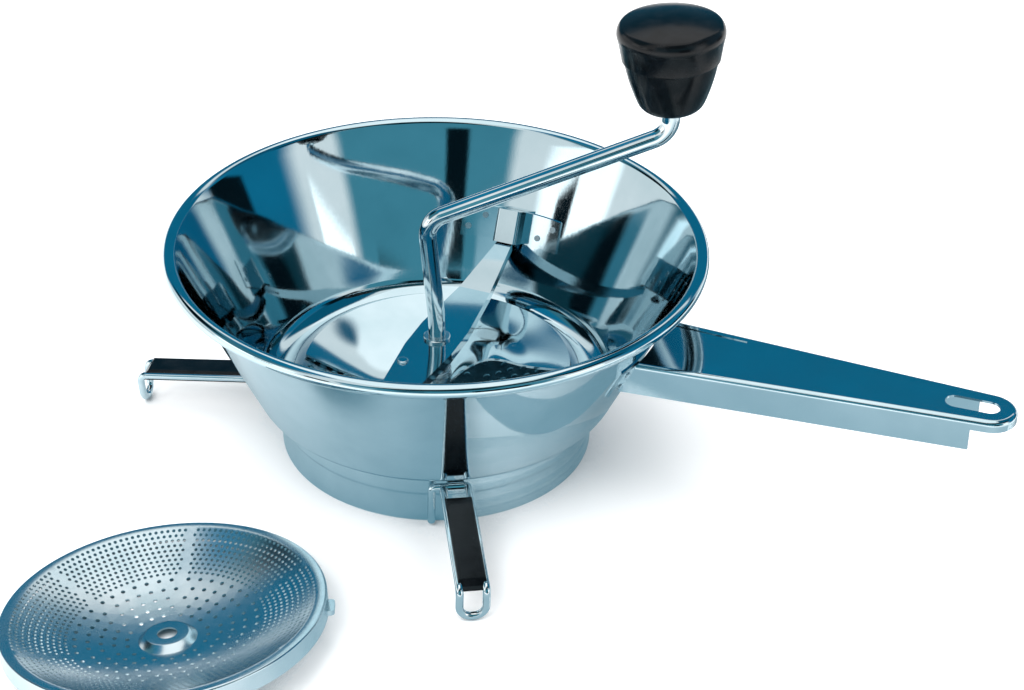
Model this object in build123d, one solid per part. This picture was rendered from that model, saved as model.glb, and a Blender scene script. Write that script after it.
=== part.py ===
from build123d import *
import math
import os

# Hand-cranked food mill, 24 cm bowl, with its fitted coarse disc and a spare fine disc.
# Millimetres. Origin on the bowl's axis at the plane of the outlet ring's foot, +Z up,
# +X along the handle. Every named value below is a real size of the object.

# ---- sheet and running fits ----
SHEET = 0.8              # bowl, ring and disc sheet
RUN_FIT = 0.06           # radial clearance of a turning shaft
SEAT_GAP = 0.05          # air between welded sheets that follow a curved wall
LOOSE_GAP = 0.3          # air between a loose piece and what carries it

# ---- bowl ----
RIM_R = 118.0            # radius of the rolled bead's centre
RIM_Z = 100.0
BEAD_R = 3.1
BEAD_SWEEP = 275.0       # degrees that the edge is rolled
LEDGE_Z = 25.8           # top of the inner ledge that carries a disc
LEDGE_R = 60.5           # inner edge of the ledge
CORNER_R = 80.0          # where ledge and cone would meet without the bend
CORNER_BEND = 12.0

# ---- outlet ring ----
RING_R = 72.0            # outside, at the foot
RING_STEP = 0.9          # how far the upper band stands out
RING_STEP_Z = 14.0
RING_FLANGE = 7.0
FLANGE_FOOT_Z = 23.4       # the flange is its own node from here up

# ---- strainer discs ----
DISC_R = 66.4
DISC_FLANGE = 8.0
DISC_BEND = 0.9
DISH_DEPTH = 15.5
DISH_R = 62.5            # where the dish meets the flat rim
HUB_R = 12.0             # foot of the raised hub
HUB_TOP_R = 8.5
HUB_RISE = 2.4
RIB_COUNT = 6
RIB_WIDTH = 2.4          # plain strip between two sectors of holes
FINE_INNER_R = 40.0      # where the fine band starts
FINE_HOLE = 1.7
FINE_PITCH = 6.8
MID_HOLE = 2.0
MID_PITCH = 8.0
COARSE_HOLE = 4.0
COARSE_PITCH = 9.0
HOLE_MARGIN = 3.0
LUG_WIDTH = 9.0
LUG_REACH = 2.6
LUG_HEIGHT = 2.2
LUG_RAISE = 0.7          # from the flange's foot
LUG_CORNER = 1.6
LUG_ROOT = 0.4           # how far a lug runs in behind the flange's face
ROW_SPACING = 0.87       # rows of holes stand this share of a pitch apart
STAND_GAP = 0.05         # air between the spare disc and the table
LUG_ANGLES = (-26.0, 91.5, 209.0)
SPARE_X = -42.8          # where the spare disc's low hub ring stands on the table
SPARE_Y = -182.1
SPARE_HIGH_SIDE = -36.0  # direction of its raised side
SPARE_TURN = 49.0

# ---- handle ----
HANDLE_END = 261.2
HANDLE_ROOT_R = 122.0
HANDLE_ROOT_W = 39.4
HANDLE_END_W = 23.0
HANDLE_ROOT_Z = 74.4
HANDLE_END_Z = 78.4
HANDLE_SHEET = 1.0
HANDLE_DEPTH = 14.9      # side flange
HANDLE_NOSE_DEPTH = 5.0
HANDLE_STEP_R = 244.0    # where the side flange ends
HANDLE_EDGE = 2.2
HANDLE_PRESS_R = 143.0   # pressed arc near the bowl
HANDLE_PRESS_DEPTH = 0.4
HANDLE_PRESS_BEND = 60.0
HANDLE_BACK = 40.0       # how far the plan runs in past the root before it is cut to the bowl
SLOT_LENGTH = 23.0
SLOT_WIDTH = 9.0
SLOT_R = 242.5
EAR_REACH = 10.0
EAR_INSET = 2.0          # the ears start this far outside the channel's side
EAR_WELD_DROP = 3.3      # a weld's distance from the ear's edge
EAR_TOP_Z = 75.0
EAR_LOW_Z = 61.5

# ---- spot welds ----
WELD_R = 1.5
WELD_SINK = 0.3
WELD_PROUD = 0.35

# ---- bridge and its catches ----
BRIDGE_Z = 50.0          # top of the bridge at the bush
BRIDGE_SHEET = 1.2
BRIDGE_FLANGE = 4.5
BRIDGE_MID_W = 23.0
BRIDGE_END_W = 6.5
BRIDGE_WAIST = 10.0      # the plan narrows from here outwards
BRIDGE_CREASE = 46.0     # the bar rises from here outwards
BRIDGE_RISE = 5.5
BRIDGE_END = 85.5
TONGUE_Z = 59.2          # top of the turned-up tongue
TONGUE_LEAN = 3.2
RIVET_AT = (-6.5, -24.0)
RIVET_TAIL = 0.7
RIVET_TAIL_STEP = 0.4    # the tail is this much smaller in radius than the head
RIVET_R = 1.5
RIVET_HEAD_R = 2.6
RIVET_HEAD = 0.9
CATCH_Z = 59.7
CATCH_HEIGHT = 16.2
CATCH_BOX_W = 12.0
CATCH_BOX_D = 9.0
CATCH_SHEET = 1.0
CATCH_EAR = 19.0
CATCH_EDGE = 1.4
CATCH_WELD_AT = 12.0     # middle of an ear's two welds, from the box's side
CATCH_WELD_SIDE = 3.8    # each weld's distance from that middle, along the wall
CATCH_WELD_UP = 2.8      # and up or down
CATCH_EAR_H = 14.0
BRIDGE_TRAVEL = 4.0      # how far the bridge presses down to free its tongues

# ---- crank ----
ROD_R = 4.0
ROD_FOOT_Z = 15.2
ROD_STRAIGHT_Z = 60.0
ROD_TOP_BACK = 5.0       # the shaft leans back this much by its top bend
BEND_LEAN = 60.0
ROD_FOOT_BEVEL = 0.8
ARM_START = (14.0, 119.0)
ARM_END = (91.0, 151.0)
CRANK_ANGLE = 23.0
KNOB_TILT = 3.5
KNOB_FOOT = (100.5, 167.2)
BEND_TOP = 11.0
BEND_KNOB = 11.0
SPINDLE_R = 3.2
SPINDLE_LENGTH = 30.0

# ---- bush, spring, paddle ----
BUSH_R = 5.0
BUSH_FLANGE_R = 6.2
BUSH_FLANGE = 1.4
BUSH_FOOT_Z = 44.0
BUSH_NUT_R = 6.6
BUSH_NUT = 2.0
BUSH_EDGE = 0.4
WASHER = 1.0
WASHER_R = 7.0
PADDLE_HUB_R = 6.4
PADDLE_HUB_LOW = 22.4
PADDLE_HUB_TOP = 30.0
PADDLE_PIN_R = 1.25
PADDLE_PIN_SINK = 0.3    # each end of the pin stays this far under the hub's face
PADDLE_HUB_EDGE = 0.5
PADDLE_R = 61.5
PADDLE_SHEET = 1.2
PADDLE_LEAD = -8.0       # leading edge, from the crank's own direction
PADDLE_SWEEP = 180.0
PADDLE_STEPS = 12
PADDLE_CREST_R = 24.0
PADDLE_CREST_Z = 39.5
PADDLE_LEAD_Z = 36.6
PADDLE_REST = 1.0        # air under the trailing edge
PADDLE_ROOT = 4.0        # the leading edge leaves the hub this far under its top
PADDLE_NECK = 4.0        # and stands this far over it at the next station
PADDLE_SAG = 0.8         # the leading edge hangs this far under a straight run
PADDLE_FOOT = 1.0        # the trailing edge leaves the hub this far over its foot
PADDLE_DIP = 0.6
SPRING_WIRE = 1.2
SPRING_R = 6.1
SPRING_TURNS = 3.0       # between the short bends that lead to the two ends
SPRING_LEAD = 1.8        # height of one such bend
SPRING_LEAD_TURN = 1 / 12

# ---- knob ----
KNOB_R = 23.1
KNOB_LIP_R = 21.2
KNOB_SKIRT_R = 20.3
KNOB_FOOT_R = 8.0        # flat part of the foot
KNOB_FOOT_BEND = (12.3, 1.2)
KNOB_FOOT_TOP = (14.8, 4.4)
KNOB_SKIRT_BEND = (17.7, 12.5)
KNOB_HEIGHT = 41.2
KNOB_CAP_H = 17.8
KNOB_DOME = 1.6
KNOB_WIDE_DROP = 4.6     # the widest line is this far under the top
KNOB_FLARE = 3.4         # the cap's side is straight up to here, under its widest line
KNOB_FLARE_IN = 0.35
KNOB_SHOULDER = (1.6, 2.9)   # from the widest line: in and up to the dome's edge
KNOB_LIP_EDGE = (0.6, 0.9)   # rounding of the lip, across and up
KNOB_BUSH_R = 5.6
KNOB_CLIP_R = 6.6
KNOB_CLIP = 1.2
KNOB_WALL = 2.6

# ---- fold-out hooks ----
HOOK_ANGLES = (-60.9, 66.0, 193.0)
HOOK_R = 76.5            # pivot's distance from the bowl's axis
HOOK_Z = 22.0
HOOK_DROOP = 4.7
HOOK_REACH = 65.0        # pivot to the turned-down loop
HOOK_DROP = 14.4
HOOK_HALF = 5.6          # half the distance between the two arms
HOOK_ARM_BEND = 1.9
HOOK_KNEE_BEND = 3.4
HOOK_LOOP_BEND = 5.4
WIRE_R = 1.7
WIRE_END = 2.7           # where the returning arm ends, beside the pin
WELD_STUB_R = 1.2        # the small weld that joins it to the pin
WELD_STUB_DROP = 0.6
TAIL_SIDE = 10.4         # the tail turns down outside the arm
TAIL_LENGTH = 20.0
CLIP_HALF = 3.6
CLIP_R = 2.7
CLIP_LOW_Z = 16.0
CLIP_TOP_Z = 24.6
COVER_START = 8.5
COVER_END = 63.0
COVER_HALF = 6.0
COVER_UP = 2.9
COVER_DOWN = 2.3
COVER_CHAMFER = 2.4
COVER_EDGE = 1.1

# ---- worked out from the sizes above ----
TO_RIM_X = RIM_R - CORNER_R
TO_RIM_Z = RIM_Z - LEDGE_Z
WALL_ANGLE = math.atan2(TO_RIM_Z, TO_RIM_X) + math.asin(BEAD_R / math.hypot(TO_RIM_X, TO_RIM_Z))
WALL_OUT = (math.sin(WALL_ANGLE), -math.cos(WALL_ANGLE))
WALL_TOP = (RIM_R - BEAD_R * WALL_OUT[0], RIM_Z - BEAD_R * WALL_OUT[1])
RING_TOP_Z = LEDGE_Z - SHEET
DISC_RIM_Z = LEDGE_Z + DISC_FLANGE
ROD_HOLE_R = ROD_R + RUN_FIT
DISC_BORE = ROD_R + 0.15
DISH_CENTRE = (DISH_R ** 2 - HUB_R ** 2 - DISH_DEPTH ** 2) / (2 * DISH_DEPTH)
DISH_SPHERE = math.hypot(DISH_R, DISH_CENTRE)
SPRING_LOW = PADDLE_HUB_TOP + WASHER
SPRING_TOP = BUSH_FOOT_Z - WASHER


def wall_r(z, offset=0.0):
    """Radius of the bowl's inner cone at height z, moved outwards by offset along its normal."""
    return CORNER_R + (z - LEDGE_Z) / math.tan(WALL_ANGLE) + offset / math.sin(WALL_ANGLE)


def sheet(line, thickness, side=Side.RIGHT):
    """A closed section on the XZ plane: the line of one face, thickened to one side."""
    return make_face(offset(line, amount=thickness, side=side).edges())


def turned(section):
    """A section drawn in X and Y turned about the Z axis, with Y as height."""
    return revolve(Plane.XZ * section, Axis.Z)


def ring(outer, inner, low, high):
    """A plain tube about the Z axis."""
    return Pos(0, 0, low) * extrude(Circle(outer) - Circle(inner), high - low)


def wall_band(low, high, inner, outer):
    """A solid of revolution that follows the cone between two offsets from its inner face."""
    return turned(make_face(Polyline(
        (wall_r(low, inner), low), (wall_r(low, outer), low),
        (wall_r(high, outer), high), (wall_r(high, inner), high), close=True)))


# ---------------------------------------------------------------- bowl and outlet ring

def make_bowl():
    """Conical bowl with its inner ledge and rolled rim."""
    wall = FilletPolyline((LEDGE_R, LEDGE_Z), (CORNER_R, LEDGE_Z), WALL_TOP, radius=CORNER_BEND)
    curl = JernArc(WALL_TOP, (math.cos(WALL_ANGLE), math.sin(WALL_ANGLE)), -BEAD_R, -BEAD_SWEEP)
    return turned(sheet(Wire(wall.edges() + curl.edges()), SHEET))


def outlet_blank():
    """Straight ring under the bowl, stepped out above and turned in under the ledge, as one sheet."""
    upper = RING_R + RING_STEP
    line = FilletPolyline(
        (RING_R, 0), (RING_R, RING_STEP_Z), (upper, RING_STEP_Z + 2 * RING_STEP),
        (upper, RING_TOP_Z), (upper - RING_FLANGE, RING_TOP_Z), radius=0.9)
    return turned(sheet(line, SHEET, Side.LEFT))


def make_outlet_ring():
    """The upright wall of the outlet ring, up to its turned-in flange."""
    return split(outlet_blank(), Plane.XY.offset(FLANGE_FOOT_Z), keep=Keep.BOTTOM)


def make_outlet_flange():
    """The flange that joins the outlet ring to the ledge."""
    return split(outlet_blank(), Plane.XY.offset(FLANGE_FOOT_Z), keep=Keep.TOP)


# ---------------------------------------------------------------- strainer discs

def rings_of_holes(inner, outer, pitch, hole):
    """Hole centres on rings, clear of the plain radial strips."""
    places = []
    count = int((outer - inner) / (pitch * ROW_SPACING)) + 1
    for row in range(count):
        radius = inner + row * (outer - inner) / max(count - 1, 1)
        sector = 2 * math.pi / RIB_COUNT
        edge = (RIB_WIDTH / 2 + hole / 2) / radius
        holes = max(int((sector - 2 * edge) * radius / pitch) + 1, 1)
        for rib in range(RIB_COUNT):
            for step in range(holes):
                share = (step + 0.5) / holes
                places.append((radius, rib * sector + edge + share * (sector - 2 * edge)))
    return places


def dish_drop(radius):
    """Height of the dish's upper face below the disc's rim: part of a large sphere."""
    return DISH_CENTRE - math.sqrt(DISH_SPHERE ** 2 - radius ** 2)


def disc_blank():
    """Dished disc with a turned-down flange and a raised hub, its rim's top at height 0."""
    rim = FilletPolyline((DISC_R, -DISC_FLANGE), (DISC_R, 0), (DISH_R, 0), radius=DISC_BEND)
    start = math.degrees(math.asin(DISH_R / DISH_SPHERE)) - 90
    end = math.degrees(math.asin(HUB_R / DISH_SPHERE)) - 90
    dish = CenterArc((0, DISH_CENTRE), DISH_SPHERE, start, end - start)
    hub = Polyline((HUB_R, -DISH_DEPTH), (HUB_TOP_R, HUB_RISE - DISH_DEPTH),
                   (DISC_BORE, HUB_RISE - DISH_DEPTH))
    return turned(sheet(Wire(rim.edges() + dish.edges() + hub.edges()), SHEET, Side.LEFT))


def disc_lugs():
    """Small lugs at the foot of the flange."""
    lugs = []
    for angle in LUG_ANGLES:
        middle = DISC_R + (LUG_REACH - LUG_ROOT) / 2
        block = Pos(middle, 0, LUG_RAISE + LUG_HEIGHT / 2 - DISC_FLANGE) * Box(
            LUG_REACH + LUG_ROOT, LUG_WIDTH, LUG_HEIGHT)
        corners = block.edges().filter_by(Axis.Z).sort_by(Axis.X)[-2:]
        lugs.append(Rot(0, 0, angle) * fillet(corners, LUG_CORNER))
    inside = Pos(0, 0, -DISC_FLANGE) * Cylinder(DISC_R - SHEET / 2, LUG_HEIGHT * 4)
    return [lug - inside for lug in lugs]


def pierced(blank, patterns):
    """The blank with each pattern of holes cut through it."""
    drills = []
    for places, hole in patterns:
        for radius, angle in places:
            lean = math.degrees(math.asin(radius / DISH_SPHERE))
            drills.append(Pos(0, 0, DISH_CENTRE) * Rot(0, 0, math.degrees(angle)) * Rot(0, -lean, 0)
                          * Pos(0, 0, -DISH_SPHERE) * Cylinder(hole / 2, SHEET * 4))
    return blank - drills


def make_coarse_disc():
    """The fitted disc, on the bowl's ledge."""
    places = rings_of_holes(
        HUB_R + COARSE_HOLE, DISH_R - HOLE_MARGIN, COARSE_PITCH, COARSE_HOLE)
    disc = pierced(disc_blank(), [(places, COARSE_HOLE)])
    return Pos(0, 0, DISC_RIM_Z) * disc


def spare_place():
    """Where the spare disc lies: on its low hub ring and on one side of its flange."""
    tilt = math.degrees(math.atan2(
        DISH_DEPTH + SHEET - DISC_FLANGE, DISC_R - HUB_R))
    lift = (DISH_DEPTH + SHEET) * math.cos(math.radians(tilt)) + HUB_R * math.sin(math.radians(tilt))
    return (Pos(SPARE_X, SPARE_Y, lift + STAND_GAP) * Rot(0, 0, SPARE_HIGH_SIDE) * Rot(0, -tilt, 0)
            * Rot(0, 0, SPARE_TURN - SPARE_HIGH_SIDE))


def make_fine_disc():
    """The spare disc: larger holes round the hub, a finer band outside them."""
    middle = rings_of_holes(
        HUB_R + HOLE_MARGIN, FINE_INNER_R - HOLE_MARGIN, MID_PITCH, MID_HOLE)
    band = rings_of_holes(FINE_INNER_R, DISH_R - HOLE_MARGIN, FINE_PITCH, FINE_HOLE)
    disc = pierced(disc_blank(), [(middle, MID_HOLE), (band, FINE_HOLE)])
    return spare_place() * disc.fuse(*disc_lugs())


# ---------------------------------------------------------------- handle

def handle_plane():
    """The plane of the handle's top, rising a little outwards, at the root station."""
    slope = math.atan2(HANDLE_END_Z - HANDLE_ROOT_Z, HANDLE_END - HANDLE_ROOT_R)
    return Plane(origin=(HANDLE_ROOT_R, 0, HANDLE_ROOT_Z), x_dir=(math.cos(slope), 0, math.sin(slope)),
                 z_dir=(-math.sin(slope), 0, math.cos(slope)))


def handle_outline(inset=0.0):
    """Tapered plan with a round nose, from inside the bowl's wall outwards."""
    nose = HANDLE_END_W / 2
    length = HANDLE_END - HANDLE_ROOT_R
    slope = (HANDLE_ROOT_W - HANDLE_END_W) / 2 / (length - nose)
    back = -HANDLE_BACK
    start = HANDLE_ROOT_W / 2 - slope * back - inset
    angle = math.atan(slope)
    bend = nose - inset
    tip = (length - nose + bend * math.sin(angle), bend * math.cos(angle))
    upper = Line((back, start), tip)
    lower = Line((tip[0], -tip[1]), (back, -start))
    end = ThreePointArc(tip, (length - inset, 0), (tip[0], -tip[1]))
    return make_face([upper, end, lower, Line((back, -start), (back, start))])


def weld_frame(azimuth, z, offset):
    """A plane on the cone at an azimuth and height: its Z axis is the wall's outward normal."""
    a = math.radians(azimuth)
    r = wall_r(z, offset)
    n = (WALL_OUT[0] * math.cos(a), WALL_OUT[0] * math.sin(a), WALL_OUT[1])
    return Plane(origin=(r * math.cos(a), r * math.sin(a), z), x_dir=(-math.sin(a), math.cos(a), 0), z_dir=n)


def weld_spot(plane, inward=False):
    """A flat spot weld: a low button, part sunk in the sheet under it."""
    low, high = (-WELD_PROUD, WELD_SINK) if inward else (-WELD_SINK, WELD_PROUD)
    return plane * (Pos(0, 0, low) * extrude(Circle(WELD_R), high - low))


def handle_weld_planes():
    """Two welds on each ear."""
    outer = SHEET + SEAT_GAP + HANDLE_SHEET
    planes = []
    for side in (-1, 1):
        for z in (EAR_LOW_Z + EAR_WELD_DROP, EAR_TOP_Z - EAR_WELD_DROP):
            reach = HANDLE_ROOT_W / 2 + EAR_INSET + EAR_REACH / 2
            azimuth = math.degrees(math.asin(reach / wall_r(z, outer)))
            planes.append(weld_frame(side * azimuth, z, outer))
    return planes


def make_handle():
    """Pressed channel with deep side flanges, a hanging slot and two welded ears at the bowl."""
    seat = SHEET + SEAT_GAP
    outside = extrude(handle_outline(), -HANDLE_DEPTH)
    outside = fillet(outside.faces().sort_by(Axis.Z)[-1].edges().sort_by(Axis.X)[1:], HANDLE_EDGE)
    inside = extrude(Pos(0, 0, -HANDLE_SHEET) * handle_outline(HANDLE_SHEET), -HANDLE_DEPTH)
    tall = HANDLE_DEPTH * 2
    under = Pos(HANDLE_STEP_R - HANDLE_ROOT_R, 0, -HANDLE_NOSE_DEPTH) * Box(
        HANDLE_ROOT_W, HANDLE_ROOT_W * 2, tall, align=(Align.MIN, Align.CENTER, Align.MAX))
    slot = Pos(SLOT_R - HANDLE_ROOT_R, 0, 0) * extrude(
        SlotOverall(SLOT_LENGTH, SLOT_WIDTH), HANDLE_SHEET * 3, both=True)
    flat = handle_outline(HANDLE_SHEET * 2 + HANDLE_EDGE)
    disc = Pos(HANDLE_PRESS_R - HANDLE_ROOT_R - HANDLE_PRESS_BEND, 0) * Circle(HANDLE_PRESS_BEND)
    press = Pos(0, 0, -HANDLE_PRESS_DEPTH) * extrude(disc & flat, HANDLE_SHEET)
    body = handle_plane() * (outside - inside - under - slot - press)
    inner_r = wall_r(0, seat + HANDLE_SHEET / 2)
    inner = turned(make_face(Polyline(
        (0, 0), (inner_r, 0), (wall_r(RIM_Z, seat + HANDLE_SHEET / 2), RIM_Z), (0, RIM_Z), close=True)))
    ears = wall_band(EAR_LOW_Z, EAR_TOP_Z, seat, seat + HANDLE_SHEET)
    reach = 2 * (HANDLE_ROOT_W / 2 + EAR_INSET + EAR_REACH)
    near = Pos(RIM_R, 0, EAR_TOP_Z) * Box(RIM_R, reach, tall * 2)
    gap = Pos(RIM_R, 0, EAR_TOP_Z) * Box(RIM_R, HANDLE_ROOT_W - HANDLE_SHEET, tall * 2)
    solid = (body - inner) + ((ears & near) - gap)
    return solid - [weld_spot(p) for p in handle_weld_planes()]


def make_handle_welds():
    """The four spot welds of the handle's ears."""
    return Compound([weld_spot(p).solid() for p in handle_weld_planes()])


# ---------------------------------------------------------------- bridge catches

def catch_weld_planes(azimuth):
    """Two welds on each ear of one catch, on the inside of the bowl."""
    planes = []
    inner = -SEAT_GAP - CATCH_SHEET
    for side in (-1, 1):
        reach = CATCH_BOX_W / 2 + CATCH_WELD_AT
        for step in (-1, 1):
            z = CATCH_Z - side * step * CATCH_WELD_UP
            turn = math.degrees((reach + step * CATCH_WELD_SIDE) / wall_r(z, inner))
            planes.append(weld_frame(azimuth + side * turn, z, inner))
    return planes


def make_catch(azimuth):
    """Pressed catch: a box open below for the bridge's tongue, with an ear each side."""
    back = -SEAT_GAP - CATCH_SHEET
    clear = CATCH_BOX_D * 3
    band = wall_band(CATCH_Z - CATCH_EAR_H / 2, CATCH_Z + CATCH_EAR_H / 2, back, -SEAT_GAP)
    at_wall = Pos(wall_r(CATCH_Z), 0, CATCH_Z)
    wide = at_wall * Box(clear * 2, CATCH_BOX_W + 2 * CATCH_EAR, clear * 2)
    flank = at_wall * Box(clear * 2, CATCH_BOX_W - 2 * CATCH_SHEET, clear * 2)
    place = weld_frame(0, CATCH_Z, back)
    outward = (Align.CENTER, Align.CENTER, Align.MIN)
    box = place * (Pos(0, 0, -CATCH_BOX_D) * Box(CATCH_BOX_W, CATCH_HEIGHT, clear, align=outward))
    box = fillet(box.edges().filter_by(Axis((0, 0, 0), place.y_dir)).sort_by(Axis.X)[:2], CATCH_EDGE)
    inside = (CATCH_BOX_W - 2 * CATCH_SHEET, CATCH_HEIGHT * 2, clear)
    hollow = place * (Pos(0, CATCH_HEIGHT / 2 - CATCH_SHEET, CATCH_SHEET - CATCH_BOX_D) * Box(
        *inside, align=(Align.CENTER, Align.MAX, Align.MIN)))
    outside = wall_band(CATCH_Z - clear, CATCH_Z + clear, back + CATCH_SHEET / 2, clear * 2)
    solid = (box - hollow - outside) + ((band & wide) - flank)
    solid = Rot(0, 0, azimuth) * solid
    return solid - [weld_spot(p, True) for p in catch_weld_planes(azimuth)]


def make_catch_welds():
    """The eight spot welds of the two catches."""
    spots = [weld_spot(p, True).solid() for azimuth in (90, 270) for p in catch_weld_planes(azimuth)]
    return Compound(spots)


# ---------------------------------------------------------------- bridge

def bridge_line(drop=0.0):
    """The bridge's side view in Y and Z, one half at a time joined: its top, lowered by drop."""
    half = [(BRIDGE_CREASE, BRIDGE_Z - drop), (BRIDGE_END, BRIDGE_Z + BRIDGE_RISE - drop)]
    return [(-y, z) for y, z in reversed(half)] + half


def bridge_side(top_drop, low_drop, width):
    """A solid as wide as asked between the bridge's top, lowered by two amounts."""
    face = make_face(Polyline(*bridge_line(top_drop), *reversed(bridge_line(low_drop)), close=True))
    return extrude(Plane.YZ * face, width / 2, both=True)


def bridge_plan(inset):
    """The bridge's plan: wide at the bush and narrow at the ends, as a tall block."""
    w, e = BRIDGE_MID_W / 2 - inset, BRIDGE_END_W / 2 - inset
    y = BRIDGE_END + BRIDGE_FLANGE
    face = make_face(Polyline((e, y), (w, BRIDGE_WAIST), (w, -BRIDGE_WAIST), (e, -y),
                              (-e, -y), (-w, -BRIDGE_WAIST), (-w, BRIDGE_WAIST), (-e, y), close=True))
    return Pos(0, 0, BRIDGE_Z) * extrude(face, BRIDGE_MID_W, both=True)


def make_bridge():
    """Pressed bar across the bowl with down-turned sides and a turned-up tongue at each end."""
    wide = BRIDGE_MID_W * 2
    outer = bridge_side(0, BRIDGE_FLANGE, wide) & bridge_plan(0)
    inner = bridge_side(BRIDGE_SHEET, BRIDGE_FLANGE * 2, wide) & bridge_plan(BRIDGE_SHEET)
    bar = outer - inner
    tongues = []
    for side in (-1, 1):
        y0, y1 = BRIDGE_END - BRIDGE_SHEET, BRIDGE_END - BRIDGE_SHEET + TONGUE_LEAN
        z0 = BRIDGE_Z + BRIDGE_RISE - BRIDGE_SHEET
        face = make_face(Polyline((side * y0, z0), (side * (y0 + BRIDGE_SHEET), z0),
                                  (side * (y1 + BRIDGE_SHEET), TONGUE_Z), (side * y1, TONGUE_Z), close=True))
        tongues.append(extrude(Plane.YZ * face, BRIDGE_END_W / 2, both=True))
    bar = bar.fuse(*tongues)
    bush_hole = Pos(0, 0, BRIDGE_Z) * Cylinder(BUSH_R, BRIDGE_FLANGE)
    rivet_hole = rivet_place() * Cylinder(RIVET_R, BRIDGE_FLANGE)
    return bar - bush_hole - rivet_hole


def rivet_place():
    """The rivet's place on the bridge's top."""
    return Pos(RIVET_AT[0], RIVET_AT[1], BRIDGE_Z)


def make_bridge_rivet():
    """Rivet through the bridge, with a domed head above and a flat one below."""
    shank = Pos(0, 0, -BRIDGE_SHEET / 2) * Cylinder(RIVET_R, BRIDGE_SHEET)
    head = extrude(Circle(RIVET_HEAD_R), RIVET_HEAD)
    head = fillet(head.edges().sort_by(Axis.Z)[-1], RIVET_HEAD - RIVET_TAIL_STEP / 2)
    tail = Pos(0, 0, -BRIDGE_SHEET) * extrude(Circle(RIVET_HEAD_R - RIVET_TAIL_STEP), -RIVET_TAIL)
    return rivet_place() * (head + shank + tail)


def make_bush():
    """Flanged bush that the crank's shaft turns in."""
    sleeve = ring(BUSH_R, ROD_HOLE_R, BUSH_FOOT_Z, BRIDGE_Z)
    flange = ring(BUSH_FLANGE_R, ROD_HOLE_R, BRIDGE_Z, BRIDGE_Z + BUSH_FLANGE)
    solid = sleeve + flange
    return chamfer(solid.edges().group_by(Axis.Z)[-1].sort_by(SortBy.RADIUS)[-1], BUSH_EDGE)


def make_bush_nut():
    """Nut that holds the bush under the bridge."""
    high = BRIDGE_Z - BRIDGE_SHEET
    nut = extrude(RegularPolygon(BUSH_NUT_R, 6, major_radius=False), BUSH_NUT)
    nut = nut & Cylinder(WASHER_R, BUSH_NUT * 4)
    return Pos(0, 0, high - BUSH_NUT) * (nut - Cylinder(BUSH_R, BUSH_NUT * 4))


# ---------------------------------------------------------------- spring

def biarc(start, start_dir, end, end_dir):
    """Two tangent arcs from start to end with the given directions there."""
    v = end - start
    t = start_dir + end_dir
    a = 2 * (1 - start_dir.dot(end_dir))
    b = v.dot(t)
    reach = (-b + math.sqrt(b * b + a * v.dot(v))) / a
    q0 = start + start_dir * reach
    q1 = end - end_dir * reach
    joint = (q0 + q1) * 0.5
    return [TangentArc(start, joint, tangent=start_dir),
            TangentArc(joint, end, tangent=(q1 - q0).normalized())]


def spring_path():
    """Compression spring: straight ends square to the washers, a short bend in, then the coils."""
    low, high = SPRING_LOW + SPRING_WIRE, SPRING_TOP - SPRING_WIRE
    pitch = (high - low - 2 * SPRING_LEAD) / SPRING_TURNS
    climb = pitch / (2 * math.pi)

    def around(turn, z):
        a = 2 * math.pi * turn
        return Vector(SPRING_R * math.cos(a), SPRING_R * math.sin(a), z)

    def direction(turn):
        a = 2 * math.pi * turn
        return Vector(-SPRING_R * math.sin(a), SPRING_R * math.cos(a), climb).normalized()

    up = Vector(0, 0, 1)
    stations = [step / 4 for step in range(int(SPRING_TURNS * 4) + 1)]
    coil = [(around(SPRING_LEAD_TURN + turn, low + SPRING_LEAD + pitch * turn),
             direction(SPRING_LEAD_TURN + turn)) for turn in stations]
    first = around(0, low)
    last = around(2 * SPRING_LEAD_TURN + SPRING_TURNS, high)
    edges = [Line(first - up * SPRING_WIRE, first)]
    knots = [(first, up), *coil, (last, up)]
    for (a, a_dir), (b, b_dir) in zip(knots, knots[1:]):
        edges += biarc(a, a_dir, b, b_dir)
    edges.append(Line(last, last + up * SPRING_WIRE))
    return Wire([edge for line in edges for edge in line.edges()])


def least_self_gap(path, wire):
    """Least air between turns of the spring, on points more than a third of a turn apart."""
    places = [edge.position_at(i / 6) for edge in path.edges() for i in range(6)]
    length = 0.0
    along = [0.0]
    for a, b in zip(places, places[1:]):
        length += (b - a).length
        along.append(length)
    apart = 2 * math.pi * SPRING_R / 3
    least = min((p - q).length for i, p in enumerate(places) for j, q in enumerate(places)
                if along[j] - along[i] > apart)
    return least - wire


def make_spring():
    """The spring as one tube along its path."""
    path = spring_path()
    print("spring least self-gap mm", round(least_self_gap(path, SPRING_WIRE), 2))
    return sweep(Plane(origin=path @ 0, z_dir=path % 0) * Circle(SPRING_WIRE / 2), path=path)


def make_washer(low):
    """Flat washer on the shaft."""
    return ring(WASHER_R, ROD_HOLE_R, low, low + WASHER)


# ---------------------------------------------------------------- crank and paddle

def crank_plane():
    """The upright plane through the bowl's axis that holds the crank: X outwards, Y up."""
    a = math.radians(CRANK_ANGLE)
    return Plane(origin=(0, 0, 0), x_dir=(math.cos(a), math.sin(a), 0), z_dir=(math.sin(a), -math.cos(a), 0))


def knob_frame():
    """The knob's frame: its foot on the crank, Z along the spindle."""
    plane = crank_plane()
    tilt = math.radians(KNOB_TILT)
    up = plane.x_dir * -math.sin(tilt) + plane.y_dir * math.cos(tilt)
    foot = plane.from_local_coords(Vector(KNOB_FOOT[0], KNOB_FOOT[1], 0))
    return Plane(origin=foot, x_dir=plane.x_dir * math.cos(tilt) + plane.y_dir * math.sin(tilt), z_dir=up)


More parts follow.
